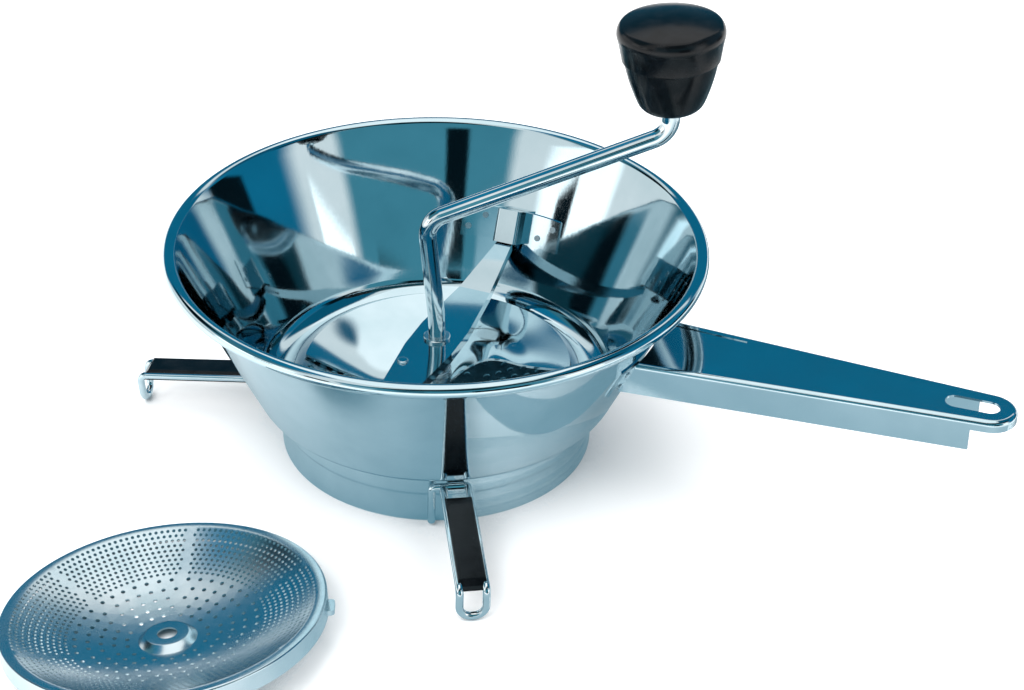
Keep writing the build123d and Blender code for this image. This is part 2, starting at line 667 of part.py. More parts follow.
def arm_height(out):
    """Height of the arm's centre line at a distance out from the bowl's axis."""
    slope = (ARM_END[1] - ARM_START[1]) / (ARM_END[0] - ARM_START[0])
    return ARM_START[1] + slope * (out - ARM_START[0])


def arm_knee():
    """Where the arm's line meets the knob's axis."""
    slope = (ARM_END[1] - ARM_START[1]) / (ARM_END[0] - ARM_START[0])
    tilt = math.radians(KNOB_TILT)
    drop = (KNOB_FOOT[1] - arm_height(KNOB_FOOT[0])) / (math.cos(tilt) + slope * math.sin(tilt))
    return KNOB_FOOT[0] + drop * math.sin(tilt), KNOB_FOOT[1] - drop * math.cos(tilt)


def make_crank_rod():
    """Round rod: shaft, sloping arm and the turned-up end with its thinner spindle."""
    corner = (-ROD_TOP_BACK, arm_height(-ROD_TOP_BACK))
    line = FilletPolyline((0, ROD_FOOT_Z), (0, ROD_STRAIGHT_Z), corner, arm_knee(), KNOB_FOOT,
                          radius=(BEND_LEAN, BEND_TOP, BEND_KNOB))
    path = crank_plane() * line
    rod = sweep(Plane(origin=path @ 0, z_dir=path % 0) * Circle(ROD_R), path=path)
    spindle = knob_frame() * extrude(Circle(SPINDLE_R), SPINDLE_LENGTH)
    foot = Pos(0, 0, ROD_FOOT_Z) * extrude(Circle(ROD_R), ROD_R)
    rod = rod + spindle
    pin = paddle_pin_place() * Cylinder(PADDLE_PIN_R, PADDLE_HUB_R * 3)
    rim = foot - chamfer(foot.edges().sort_by(Axis.Z)[0], ROD_FOOT_BEVEL)
    return rod - pin - rim


def paddle_pin_place():
    """The cross pin's place: through hub and shaft, square to the crank."""
    mid = (PADDLE_HUB_LOW + PADDLE_HUB_TOP) / 2
    return Pos(0, 0, mid) * Rot(0, 0, CRANK_ANGLE + 90) * Rot(0, 90, 0)


def make_paddle_pin():
    """Cross pin."""
    return paddle_pin_place() * Cylinder(PADDLE_PIN_R, 2 * (PADDLE_HUB_R - PADDLE_PIN_SINK))


def make_paddle_hub():
    """Hub fixed on the shaft, which carries the blade."""
    hub = ring(PADDLE_HUB_R, ROD_R, PADDLE_HUB_LOW, PADDLE_HUB_TOP)
    hub = chamfer(hub.edges().group_by(Axis.Z)[-1].sort_by(SortBy.RADIUS)[-1], PADDLE_HUB_EDGE)
    return hub - paddle_pin_place() * Cylinder(PADDLE_PIN_R, PADDLE_HUB_R * 3)


def dish_z(radius):
    """Height of the fitted disc's upper face."""
    return DISC_RIM_Z + dish_drop(radius)


def blade_section(share):
    """The blade's radial section: share 0 at the raised leading edge, 1 at the trailing edge."""
    lift = 0.5 + 0.5 * math.cos(math.pi * share)
    inner = PADDLE_HUB_R
    stations = [inner, HUB_R + 2, PADDLE_CREST_R, (PADDLE_CREST_R + PADDLE_R) / 2, PADDLE_R]
    lead = [PADDLE_HUB_TOP - PADDLE_ROOT, PADDLE_HUB_TOP + PADDLE_NECK, PADDLE_CREST_Z,
            (PADDLE_CREST_Z + PADDLE_LEAD_Z) / 2 - PADDLE_SAG, PADDLE_LEAD_Z]
    hub_low = PADDLE_HUB_LOW + PADDLE_FOOT
    trail = [hub_low, max(hub_low - PADDLE_DIP, dish_z(stations[1]) + PADDLE_REST)]
    trail += [dish_z(r) + PADDLE_REST for r in stations[2:]]
    low = [(r, lift * a + (1 - lift) * b) for r, a, b in zip(stations, lead, trail)]
    high = [(r, z + PADDLE_SHEET) for r, z in reversed(low)]
    angle = math.radians(CRANK_ANGLE + PADDLE_LEAD + PADDLE_SWEEP * share)
    plane = Plane(origin=(0, 0, 0), x_dir=(math.cos(angle), math.sin(angle), 0),
                  z_dir=(math.sin(angle), -math.cos(angle), 0))
    return plane * make_face(Polyline(*low, *high, close=True))


def make_paddle():
    """Half-round blade that rises from the disc to its leading edge, welded to the hub."""
    blade = loft([blade_section(i / PADDLE_STEPS) for i in range(PADDLE_STEPS + 1)], ruled=True)
    return blade - Pos(0, 0, PADDLE_HUB_TOP) * Cylinder(PADDLE_HUB_R, PADDLE_HUB_TOP)


# ---------------------------------------------------------------- knob

def make_knob_body():
    """Tapered lower part of the knob, hollow round its bush."""
    split = KNOB_HEIGHT - KNOB_CAP_H
    line = [Line((KNOB_BUSH_R, 0), (KNOB_FOOT_R, 0)),
            ThreePointArc((KNOB_FOOT_R, 0), KNOB_FOOT_BEND, KNOB_FOOT_TOP),
            ThreePointArc(KNOB_FOOT_TOP, KNOB_SKIRT_BEND, (KNOB_SKIRT_R, split)),
            Line((KNOB_SKIRT_R, split), (KNOB_BUSH_R, split)),
            Line((KNOB_BUSH_R, split), (KNOB_BUSH_R, 0))]
    return knob_frame() * turned(make_face(line))


def make_knob_cap():
    """Round cap of the knob, hollow over the spindle's end."""
    split = KNOB_HEIGHT - KNOB_CAP_H
    wide = KNOB_HEIGHT - KNOB_WIDE_DROP
    inner_r, inner_z = KNOB_SKIRT_R - KNOB_WALL, KNOB_HEIGHT - KNOB_WALL
    across, up = KNOB_LIP_EDGE
    lip = (KNOB_LIP_R - across, split)
    lip_bend = (KNOB_LIP_R - across / 6, split + up / 3)
    flare = (KNOB_R - KNOB_FLARE_IN, wide - KNOB_FLARE)
    shoulder = (KNOB_R - KNOB_SHOULDER[0], wide + KNOB_SHOULDER[1])
    top = (0, KNOB_HEIGHT + KNOB_DOME)
    line = [Line((inner_r, split), lip),
            ThreePointArc(lip, lip_bend, (KNOB_LIP_R, split + up)),
            Line((KNOB_LIP_R, split + up), flare),
            ThreePointArc(flare, (KNOB_R, wide), shoulder),
            TangentArc(top, shoulder, tangent=(1, 0)),
            Line(top, (0, inner_z)),
            Line((0, inner_z), (inner_r, inner_z)),
            Line((inner_r, inner_z), (inner_r, split))]
    return knob_frame() * turned(make_face(line))


def make_knob_bush():
    """Sleeve inside the knob that turns on the spindle."""
    split = KNOB_HEIGHT - KNOB_CAP_H
    return knob_frame() * ring(KNOB_BUSH_R, SPINDLE_R + RUN_FIT, LOOSE_GAP, split)


def make_knob_clip():
    """Push-on clip at the spindle's end that keeps the knob on."""
    split = KNOB_HEIGHT - KNOB_CAP_H + LOOSE_GAP
    return knob_frame() * ring(KNOB_CLIP_R, SPINDLE_R, split, split + KNOB_CLIP)


# ---------------------------------------------------------------- fold-out hooks

def hook_place(index):
    """A hook's frame: its pivot, X outwards along the drooping arm."""
    return Rot(0, 0, HOOK_ANGLES[index]) * Pos(HOOK_R, 0, HOOK_Z) * Rot(0, HOOK_DROOP, 0)


def make_hook_wire(index):
    """Bent wire: tail beside the ring, pin in the clip, one arm out, the loop and the other arm back."""
    half, side, drop = HOOK_HALF, -TAIL_SIDE, -HOOK_DROP
    line = FilletPolyline(
        (0, side, -TAIL_LENGTH), (0, side, 0), (0, half, 0), (HOOK_REACH, half, 0),
        (HOOK_REACH, half, drop), (HOOK_REACH, -half, drop), (HOOK_REACH, -half, 0), (WIRE_END, -half, 0),
        radius=(HOOK_ARM_BEND, HOOK_ARM_BEND, HOOK_KNEE_BEND, HOOK_LOOP_BEND, HOOK_LOOP_BEND, HOOK_KNEE_BEND))
    main = sweep(Plane(origin=line @ 0, z_dir=line % 0) * Circle(WIRE_R), path=line)
    stub = Pos(WIRE_END / 2, -half, -WELD_STUB_DROP) * Rot(0, 90, 0) * Cylinder(WELD_STUB_R, WIRE_R * 2)
    return hook_place(index) * (main + stub)


def make_hook_cover(index):
    """Plastic bar between the two arms, grooved along both sides for the wire."""
    length = COVER_END - COVER_START
    mid = (COVER_START + COVER_END) / 2
    block = Pos(mid, 0, (COVER_UP - COVER_DOWN) / 2) * Box(length, 2 * COVER_HALF, COVER_UP + COVER_DOWN)
    ends = block.faces().sort_by(Axis.Z)[-1].edges().filter_by(Axis.Y)
    block = chamfer(ends, COVER_CHAMFER)
    block = fillet(block.edges().filter_by(Axis.X).group_by(Axis.Z)[-1], COVER_EDGE)
    grooves = [Pos(mid, side * HOOK_HALF, 0) * Rot(0, 90, 0) * Cylinder(WIRE_R + SEAT_GAP, HOOK_REACH)
               for side in (-1, 1)]
    return hook_place(index) * (block - grooves)


def make_hook_clip(index):
    """Sheet clip on the outlet ring: a plate rolled into a barrel for the hook's pin."""
    back = RING_R + RING_STEP + SEAT_GAP
    plate = Pos(back + SHEET / 2, 0, (CLIP_LOW_Z + CLIP_TOP_Z) / 2) * Box(
        SHEET, 2 * CLIP_HALF, CLIP_TOP_Z - CLIP_LOW_Z)
    barrel = Pos(HOOK_R, 0, HOOK_Z) * Rot(90, 0, 0) * Cylinder(CLIP_R, 2 * CLIP_HALF)
    link_w = HOOK_R - back
    link = Pos(back + link_w / 2, 0, HOOK_Z + CLIP_R - SHEET / 2) * Box(link_w, 2 * CLIP_HALF, SHEET)
    pin = Pos(HOOK_R, 0, HOOK_Z) * Rot(90, 0, 0) * Cylinder(WIRE_R + RUN_FIT, 4 * CLIP_HALF)
    return Rot(0, 0, HOOK_ANGLES[index]) * (plate + barrel + link - pin)


# ---------------------------------------------------------------- everything

def build():
    """All sub-parts by name."""
    parts = {
        "bowl": make_bowl(),
        "outlet_ring": make_outlet_ring(),
        "outlet_flange": make_outlet_flange(),
        "handle": make_handle(),
        "handle_welds": make_handle_welds(),
        "bridge_catch_far": make_catch(90),
        "bridge_catch_near": make_catch(270),
        "catch_welds": make_catch_welds(),
        "coarse_disc": make_coarse_disc(),
        "fine_disc": make_fine_disc(),
        "bridge": make_bridge(),
        "bridge_rivet": make_bridge_rivet(),
        "bridge_bush": make_bush(),
        "bush_nut": make_bush_nut(),
        "spring_washer_top": make_washer(SPRING_TOP),
        "spring_washer_low": make_washer(PADDLE_HUB_TOP),
        "spring": make_spring(),
        "crank_rod": make_crank_rod(),
        "paddle": make_paddle(),
        "paddle_hub": make_paddle_hub(),
        "paddle_pin": make_paddle_pin(),
        "knob_body": make_knob_body(),
        "knob_cap": make_knob_cap(),
        "knob_bush": make_knob_bush(),
        "knob_clip": make_knob_clip(),
    }
    for index in range(len(HOOK_ANGLES)):
        parts[f"hook_wire_{index + 1}"] = make_hook_wire(index)
        parts[f"hook_cover_{index + 1}"] = make_hook_cover(index)
        parts[f"hook_clip_{index + 1}"] = make_hook_clip(index)
    return parts


os.makedirs("parts", exist_ok=True)
for name, shape in build().items():
    export_step(shape, f"parts/{name}.step")
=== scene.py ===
import logging
import math
from dataclasses import dataclass, field
from enum import Enum

import bmesh
import bpy
import numpy as np
from mathutils import Matrix, Vector
from mathutils.geometry import delaunay_2d_cdt


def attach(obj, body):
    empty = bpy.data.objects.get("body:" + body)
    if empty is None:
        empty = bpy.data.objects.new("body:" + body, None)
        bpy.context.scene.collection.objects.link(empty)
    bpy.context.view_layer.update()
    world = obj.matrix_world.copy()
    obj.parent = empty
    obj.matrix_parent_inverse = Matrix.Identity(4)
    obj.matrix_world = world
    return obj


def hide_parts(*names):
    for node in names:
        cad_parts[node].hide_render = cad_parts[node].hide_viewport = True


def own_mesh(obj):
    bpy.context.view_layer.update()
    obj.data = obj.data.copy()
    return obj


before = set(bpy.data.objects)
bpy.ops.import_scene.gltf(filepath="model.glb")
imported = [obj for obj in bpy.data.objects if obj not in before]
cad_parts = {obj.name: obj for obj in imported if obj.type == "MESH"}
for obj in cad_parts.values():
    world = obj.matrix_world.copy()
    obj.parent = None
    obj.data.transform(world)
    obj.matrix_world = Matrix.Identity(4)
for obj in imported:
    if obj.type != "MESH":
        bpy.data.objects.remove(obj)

LOG = logging.getLogger("food_mill")
MM = 0.001
SMOOTH_ANGLE = math.radians(32.0)
TABLE_CARD_LIFT = 0.3 * MM
END_SHRINK = 0.35            # share of a tube's radius that its rounded ends lose
UPRIGHT = np.array([0.0, 0.0, 1.0])
ONE_QUAD = [(0, 1, 2, 3)]

Point = tuple[float, float]
Colour = tuple[float, float, float]
Piece = bpy.types.Object
Material = bpy.types.Material
Socket = bpy.types.NodeSocket


class Body(Enum):
    """The moving bodies that a piece can ride on."""

    BOWL = "bowl"
    BRIDGE = "bridge"
    CRANK = "crank"
    KNOB = "knob"
    SPARE = "spare_disc"


class Slot(Enum):
    """The record's material slots."""

    POLISHED = "polished_steel"
    SATIN = "satin_steel"
    TURNED = "turned_steel"
    ROD = "rod_steel"
    SPRING = "spring_steel"
    PLASTIC = "black_plastic"


# ------------------------------------------------------------------ shapes as arrays


def unit(vector: np.ndarray) -> np.ndarray:
    """The vector, or each row of an array of vectors, at length one."""
    return vector / np.linalg.norm(vector, axis=-1, keepdims=True)


def rounded_path(corners: list[tuple[float, ...]], radii: list[float], per_turn: int = 48) -> np.ndarray:
    """Runs between corners, each inner corner taken off by a circular arc that meets both runs.

    With a and b the directions before and after a corner and t the angle between them, the arc starts
    r tan(t / 2) before the corner and its points are centre + (start - centre) cos p + a r sin p.

    Args:
        corners: the route's corners, in two or three dimensions.
        radii: one radius for each inner corner.
        per_turn: points in a full turn of arc.

    Returns:
        An array of points, one row each.
    """
    points = np.asarray(corners, float)
    rows = [points[:1]]
    for corner, before, after, radius in zip(points[1:-1], points[:-2], points[2:], radii):
        a, b = unit(corner - before), unit(after - corner)
        turn = math.acos(float(np.clip(a @ b, -1.0, 1.0)))
        start = corner - a * radius * math.tan(turn / 2)
        centre = corner + unit(b - a) * radius / math.cos(turn / 2)
        p = np.linspace(0.0, turn, max(3, int(per_turn * turn / (2 * math.pi)) + 1))[:, None]
        rows.append(centre + (start - centre) * np.cos(p) + a * radius * np.sin(p))
    rows.append(points[-1:])
    return np.concatenate(rows)


def resampled(points: np.ndarray, step: float) -> np.ndarray:
    """The same route with extra points on its long runs, so that no run is longer than step."""
    rows = []
    for a, b in zip(points[:-1], points[1:]):
        count = max(1, math.ceil(float(np.linalg.norm(b - a)) / step))
        rows.append(a + (b - a) * np.linspace(0.0, 1.0, count, endpoint=False)[:, None])
    rows.append(points[-1:])
    return np.concatenate(rows)


def arc_through(start: Point, middle: Point, end: Point, count: int) -> np.ndarray:
    """Points on the circle through three plane points.

    Args:
        start: where the arc starts.
        middle: a point that it passes.
        end: where it ends.
        count: number of points.

    Returns:
        The points from start to end.
    """
    a, b, c = (np.asarray(p, float) for p in (start, middle, end))
    rows = 2 * np.stack([b - a, c - a])
    centre = np.linalg.solve(rows, [b @ b - a @ a, c @ c - a @ a])
    first, between, last = (math.atan2(*(p - centre)[::-1]) for p in (a, b, c))
    full = 2 * math.pi
    turn = (last - first) % full
    if (between - first) % full > turn:
        turn -= full
    angle = first + turn * np.linspace(0.0, 1.0, count)
    return centre + math.hypot(*(a - centre)) * np.stack([np.cos(angle), np.sin(angle)], axis=1)


def offset_line(points: np.ndarray, distance: float) -> np.ndarray:
    """A plane line moved sideways: each point goes along the mean of its runs' normals, mitred."""
    runs = unit(np.diff(points, axis=0))
    normals = np.stack([runs[:, 1], -runs[:, 0]], axis=1)
    before = np.concatenate([normals[:1], normals])
    after = np.concatenate([normals, normals[-1:]])
    mean = unit(before + after)
    mitre = 1.0 / np.sum(mean * after, axis=1, keepdims=True)
    return points + mean * mitre * distance


def sheet_section(line: np.ndarray, thickness: float) -> np.ndarray:
    """A closed section: the line, and its copy moved sideways by the thickness, in reverse."""
    return np.concatenate([line, offset_line(line, thickness)[::-1]])


def grid_quads(rows: int, columns: int, wrap_rows: bool, wrap_columns: bool) -> np.ndarray:
    """Vertex numbers of the quads of a grid, row by row, with wrapped sides where asked."""
    u = np.arange(rows if wrap_rows else rows - 1)
    v = np.arange(columns if wrap_columns else columns - 1)
    i, j = (a.ravel() for a in np.meshgrid(u, v, indexing="ij"))
    i2, j2 = (i + 1) % rows, (j + 1) % columns
    return np.stack([i * columns + j, i2 * columns + j, i2 * columns + j2, i * columns + j2], axis=1)


def lathe_points(section: np.ndarray, segments: int) -> np.ndarray:
    """A section (radius, height) turned about Z: (r cos a, r sin a, z) for each angle a."""
    angle = np.linspace(0.0, 2 * math.pi, segments, endpoint=False)[:, None]
    r, z = section[:, 0][None, :], section[:, 1][None, :]
    return np.stack([r * np.cos(angle), r * np.sin(angle), z + 0.0 * angle], axis=2)


def sweep_frames(path: np.ndarray) -> tuple[np.ndarray, np.ndarray]:
    """Two side directions at each point of a path that turn as little as the path allows."""
    tangents = unit(np.gradient(path, axis=0))
    side = np.cross(tangents[0], (0.0, 0.0, 1.0))
    if np.linalg.norm(side) < 0.1:
        side = np.cross(tangents[0], (0.0, 1.0, 0.0))
    sides = [unit(side)]
    for tangent in tangents[1:]:
        sides.append(unit(sides[-1] - tangent * (sides[-1] @ tangent)))
    first = np.array(sides)
    return first, np.cross(tangents, first)


def tube_points(path: np.ndarray, radius: np.ndarray | float, sides: int) -> np.ndarray:
    """A round tube: at each point of the path, point + r (cos a * side + sin a * other side)."""
    first, second = sweep_frames(path)
    angle = np.linspace(0.0, 2 * math.pi, sides, endpoint=False)[None, :, None]
    reach = np.broadcast_to(np.asarray(radius, float), (len(path),))[:, None, None]
    return path[:, None, :] + reach * (np.cos(angle) * first[:, None, :] + np.sin(angle) * second[:, None, :])


def domed(path: np.ndarray, radius: float, start: float, end: float,
          rings: int = 5) -> tuple[np.ndarray, np.ndarray]:
    """A path and its radii with rounded ends.

    Each end gets stations at the sines of equal angles, whose radii follow the cosines, so that the
    edge is a quarter of an ellipse of the given length.

    Args:
        path: the centre line.
        radius: the tube's radius.
        start: length of the rounding at the start, in metres.
        end: length of the rounding at the end.
        rings: stations in one rounding.

    Returns:
        The longer path and one radius for each of its points.
    """
    share = np.sin(np.linspace(0.0, math.pi / 2, rings))[:, None]
    first, last = unit(path[1] - path[0]), unit(path[-1] - path[-2])
    shrink = 1.0 - END_SHRINK * (1.0 - np.sqrt(np.clip(1.0 - (1.0 - share[:, 0]) ** 2, 0, 1)))
    head = path[0] + first * start * share
    tail = path[-1] - last * end * share[::-1]
    middle = path[1:-1]
    radii = np.concatenate([radius * shrink, np.full(len(middle), radius), radius * shrink[::-1]])
    return np.concatenate([head, middle, tail]), radii


# ------------------------------------------------------------------ meshes


def new_mesh(name: str, vertices: np.ndarray, faces: list[list[int]] | np.ndarray) -> Piece:
    """An object at the origin from vertices in metres, shaded smooth with its hard edges kept.

    Args:
        name: the piece's name.
        vertices: an array of points, one row each.
        faces: vertex numbers of each face.

    Returns:
        The object, linked to the scene.
    """
    mesh = bpy.data.meshes.new(name)
    mesh.from_pydata(vertices.reshape(-1, 3).tolist(), [], [list(map(int, face)) for face in faces])
    shell = bmesh.new()
    shell.from_mesh(mesh)
    bmesh.ops.remove_doubles(shell, verts=shell.verts, dist=1e-7)
    bmesh.ops.recalc_face_normals(shell, faces=shell.faces)
    shell.to_mesh(mesh)
    shell.free()
    mesh.shade_smooth()
    mesh.set_sharp_from_angle(angle=SMOOTH_ANGLE)
    piece = bpy.data.objects.new(name, mesh)
    bpy.context.scene.collection.objects.link(piece)
    return piece


def lathe(name: str, section: np.ndarray, segments: int = 256) -> Piece:
    """A closed section turned about Z. A section that starts and ends on the axis closes there."""
    points = lathe_points(section, segments)
    return new_mesh(name, points, grid_quads(segments, len(section), True, True))


def tube(name: str, path: np.ndarray, radius: np.ndarray | float, sides: int = 28) -> Piece:
    """A round tube along a path with flat ends."""
    points = tube_points(path, radius, sides)
    rows = len(path)
    faces = grid_quads(rows, sides, False, True).tolist()
    faces.append(list(range(sides)))
    faces.append(list(range((rows - 1) * sides, rows * sides)))
    return new_mesh(name, points, faces)


def slab(name: str, upper: np.ndarray, lower: np.ndarray) -> Piece:
    """A closed sheet between two grids of the same size: sections joined round, and both ends filled."""
    loops = np.concatenate([upper, lower[:, ::-1]], axis=1)
    rows, columns = loops.shape[:2]
    faces = grid_quads(rows, columns, False, True).tolist()
    half = columns // 2
    for row in (0, rows - 1):
        base = row * columns
        last = base + columns - 1
        faces += [[base + j, base + j + 1, last - 1 - j, last - j] for j in range(half - 1)]
    return new_mesh(name, loops, faces)


def placed(piece: Piece, place: Matrix) -> Piece:
    """The piece with its place worked into its mesh."""
    piece.data.transform(place)
    return piece


def dress(piece: Piece, material: Material) -> None:
    """Gives the whole piece one material."""
    piece.data.materials.clear()
    piece.data.materials.append(material)


def install(piece: Piece, body: str, slot: Slot, material: Material, *nodes: str) -> None:
    """Dresses a new piece, hangs it on its body and hides the solids that it stands for.

    Args:
        piece: the finished mesh, in the frame's place.
        body: the body that it moves with.
        slot: the record's slot that its finish belongs to; not used.
        material: its finish.
        nodes: the solids that it stands for.
    """
    dress(piece, material)
    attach(piece, body)
    if nodes:
        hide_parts(*nodes)
    LOG.info("%s: %d faces on %s", piece.name, len(piece.data.polygons), body)


def finish_node(name: str, material: Material) -> None:
    """Gives a solid that is kept its finish."""
    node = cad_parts[name]
    dress(node, material)
    LOG.info("%s keeps its solid", name)


# ------------------------------------------------------------------ finishes


class Nodes:
    """A material's node tree, with short calls for the nodes that the finishes share."""

    def __init__(self, name: str) -> None:
        """Starts an empty material with an output and one surface shader.

        Args:
            name: the material's name.
        """
        self.material = bpy.data.materials.new(name)
        self.material.use_nodes = True
        self.tree = self.material.node_tree
        self.tree.nodes.clear()
        self.output = self.tree.nodes.new("ShaderNodeOutputMaterial")
        self.surface = self.tree.nodes.new("ShaderNodeBsdfPrincipled")
        self.link(self.surface.outputs[0], self.output.inputs["Surface"])
        self.place = self.tree.nodes.new("ShaderNodeTexCoord").outputs["Object"]

    def link(self, out: Socket, into: Socket) -> None:
        """Joins two sockets."""
        self.tree.links.new(out, into)

    def stretched(self, scale: tuple[float, float, float]) -> Socket:
        """The piece's own coordinates, scaled."""
        mapping = self.tree.nodes.new("ShaderNodeMapping")
        mapping.inputs["Scale"].default_value = scale
        self.link(self.place, mapping.inputs["Vector"])
        return mapping.outputs["Vector"]

    def noise(self, scale: float, detail: float, at: Socket | None = None) -> Socket:
        """Smooth noise of a scale and detail, on the piece's own coordinates.

        Args:
            scale: cells in a metre.
            detail: octaves.
            at: other coordinates, where they are wanted.

        Returns:
            The noise's value socket.
        """
        node = self.tree.nodes.new("ShaderNodeTexNoise")
        node.inputs["Scale"].default_value = scale
        node.inputs["Detail"].default_value = detail
        self.link(at or self.place, node.inputs["Vector"])
        return node.outputs["Fac"]

    def ramp(self, value: Socket, low: float, high: float,
             to_low: float = 0.0, to_high: float = 1.0) -> Socket:
        """A value taken from one range to another, held at both ends.

        Args:
            value: the value that comes in.
            low: start of its range.
            high: end of its range.
            to_low: what the start becomes.
            to_high: what the end becomes.

        Returns:
            The new value's socket.
        """
        node = self.tree.nodes.new("ShaderNodeMapRange")
        for key, number in (("From Min", low), ("From Max", high), ("To Min", to_low), ("To Max", to_high)):
            node.inputs[key].default_value = number
        self.link(value, node.inputs["Value"])
        return node.outputs["Result"]

    def blend(self, factor: Socket, first: Colour, second: Colour) -> Socket:
        """A colour between two, by a factor.

        Args:
            factor: the socket that chooses.
            first: the colour at 0.
            second: the colour at 1.

        Returns:
            The colour's socket.
        """
        node = self.tree.nodes.new("ShaderNodeMix")
        node.data_type = "RGBA"
        node.inputs["A"].default_value = (*first, 1.0)
        node.inputs["B"].default_value = (*second, 1.0)
        self.link(factor, node.inputs["Factor"])
        return node.outputs["Result"]

    def math(self, operation: str, first: Socket, second: Socket) -> Socket:
        """The sum, product or larger of two values."""
        node = self.tree.nodes.new("ShaderNodeMath")
        node.operation = operation
        self.link(first, node.inputs[0])
        self.link(second, node.inputs[1])
        return node.outputs[0]

    def bump(self, height: Socket, strength: float, distance: float) -> None:
        """Raises the surface by a height; a second call adds to the first."""
        node = self.tree.nodes.new("ShaderNodeBump")
        node.inputs["Strength"].default_value = strength
        node.inputs["Distance"].default_value = distance
        self.link(height, node.inputs["Height"])
        socket = self.surface.inputs["Normal"]
        if socket.links:
            self.link(socket.links[0].from_socket, node.inputs["Normal"])
        self.link(node.outputs["Normal"], socket)

    def rings(self, scale: float) -> Socket:
        """Fine turning marks: sine rings about Z of a scale, a little uneven."""
        node = self.tree.nodes.new("ShaderNodeTexWave")
        node.wave_type = "RINGS"
        node.rings_direction = "Z"
        node.inputs["Scale"].default_value = scale
        node.inputs["Distortion"].default_value = 0.6
        node.inputs["Detail"].default_value = 2.0
        self.link(self.place, node.inputs["Vector"])
        return node.outputs["Fac"]


@dataclass(frozen=True)
class SteelFinish:
    """Stainless steel: how bright, how mirror-like, how flat the sheet is and how it is marked."""

    name: str
    colour: tuple[float, float, float] = (0.56, 0.69, 0.74)
    dull: tuple[float, float, float] = (0.48, 0.62, 0.67)
    roughness: float = 0.035
    smear: float = 0.03
    scuff: float = 0.03
    ripple: float = 0.05
    ripple_scale: float = 22.0
    turning: float = 0.0

    def make(self) -> Material:
        """Builds the material.

        Returns:
            A metal whose colour and polish vary in soft smears, with the sheet's slight waviness, fine
            scuffs, and turning marks where it was turned.
        """
        nodes = Nodes(self.name)
        surface = nodes.surface
        surface.inputs["Metallic"].default_value = 1.0
        smear = nodes.noise(38.0, 3.0)
        fine = nodes.noise(900.0, 2.0, nodes.stretched((1.0, 1.0, 0.15)))
        tone = nodes.blend(nodes.ramp(smear, 0.35, 0.7), self.colour, self.dull)
        nodes.link(tone, surface.inputs["Base Color"])
        polish = nodes.ramp(smear, 0.3, 0.75, self.roughness, self.roughness + self.smear)
        scuffs = nodes.ramp(fine, 0.55, 0.8, 0.0, self.scuff)
        nodes.link(nodes.math("ADD", polish, scuffs), surface.inputs["Roughness"])
        nodes.bump(nodes.noise(self.ripple_scale, 1.0), self.ripple, 0.004)
        nodes.bump(fine, 0.02, 0.0002)
        if self.turning:
            nodes.bump(nodes.rings(self.turning), 0.15, 0.0001)
        return nodes.material


@dataclass(frozen=True)
class PlasticFinish:
    """Gloss black moulded plastic."""

    name: str
    colour: tuple[float, float, float] = (0.003, 0.004, 0.005)
    worn: tuple[float, float, float] = (0.009, 0.011, 0.013)
    roughness: float = 0.15
    handling: float = 0.1

    def make(self) -> Material:
        """Builds the material.

        Returns:
            A dark gloss with a slight moulded unevenness and faint handling marks.
        """
        nodes = Nodes(self.name)
        surface = nodes.surface
        marks = nodes.noise(120.0, 4.0)
        skin = nodes.noise(1400.0, 2.0)
        tone = nodes.blend(nodes.ramp(marks, 0.4, 0.75), self.colour, self.worn)
        nodes.link(tone, surface.inputs["Base Color"])
        touched = nodes.ramp(marks, 0.3, 0.75, self.roughness, self.roughness + self.handling)
        nodes.link(touched, surface.inputs["Roughness"])
        surface.inputs["Specular IOR Level"].default_value = 0.2
        surface.inputs["Coat Weight"].default_value = 0.05
        surface.inputs["Coat Roughness"].default_value = 0.12
        nodes.bump(skin, 0.05, 0.0002)
        return nodes.material


def made(finish: SteelFinish | PlasticFinish) -> Material:
    """A field whose material is built when the finishes are."""
    return field(default_factory=finish.make)


@dataclass
class Finishes:
    """Every finish of the mill, made once."""

    bowl: Material = made(SteelFinish("bowl_mirror_steel"))
    ring: Material = made(SteelFinish("ring_steel", roughness=0.1, smear=0.05))
    sheet: Material = made(SteelFinish("pressed_sheet_steel", ripple=0.03, roughness=0.07))
    disc: Material = made(SteelFinish("strainer_steel", colour=(0.62, 0.72, 0.76), roughness=0.2, smear=0.08))
    paddle: Material = made(SteelFinish("paddle_steel", roughness=0.06, ripple=0.08))
    rod: Material = made(
        SteelFinish("rod_bright_steel", colour=(0.74, 0.8, 0.82), roughness=0.05, ripple=0.02))
    turned: Material = made(
        SteelFinish("turned_steel", colour=(0.7, 0.76, 0.78), roughness=0.16, turning=900.0))
    spring: Material = made(SteelFinish("spring_wire_steel", colour=(0.6, 0.66, 0.7), roughness=0.18))
    weld: Material = made(SteelFinish("weld_steel", colour=(0.4, 0.48, 0.52), roughness=0.3, smear=0.15))
    knob: Material = made(PlasticFinish("knob_black_plastic"))
    cover: Material = made(PlasticFinish("cover_black_plastic", roughness=0.14))


# ------------------------------------------------------------------ bowl and outlet ring


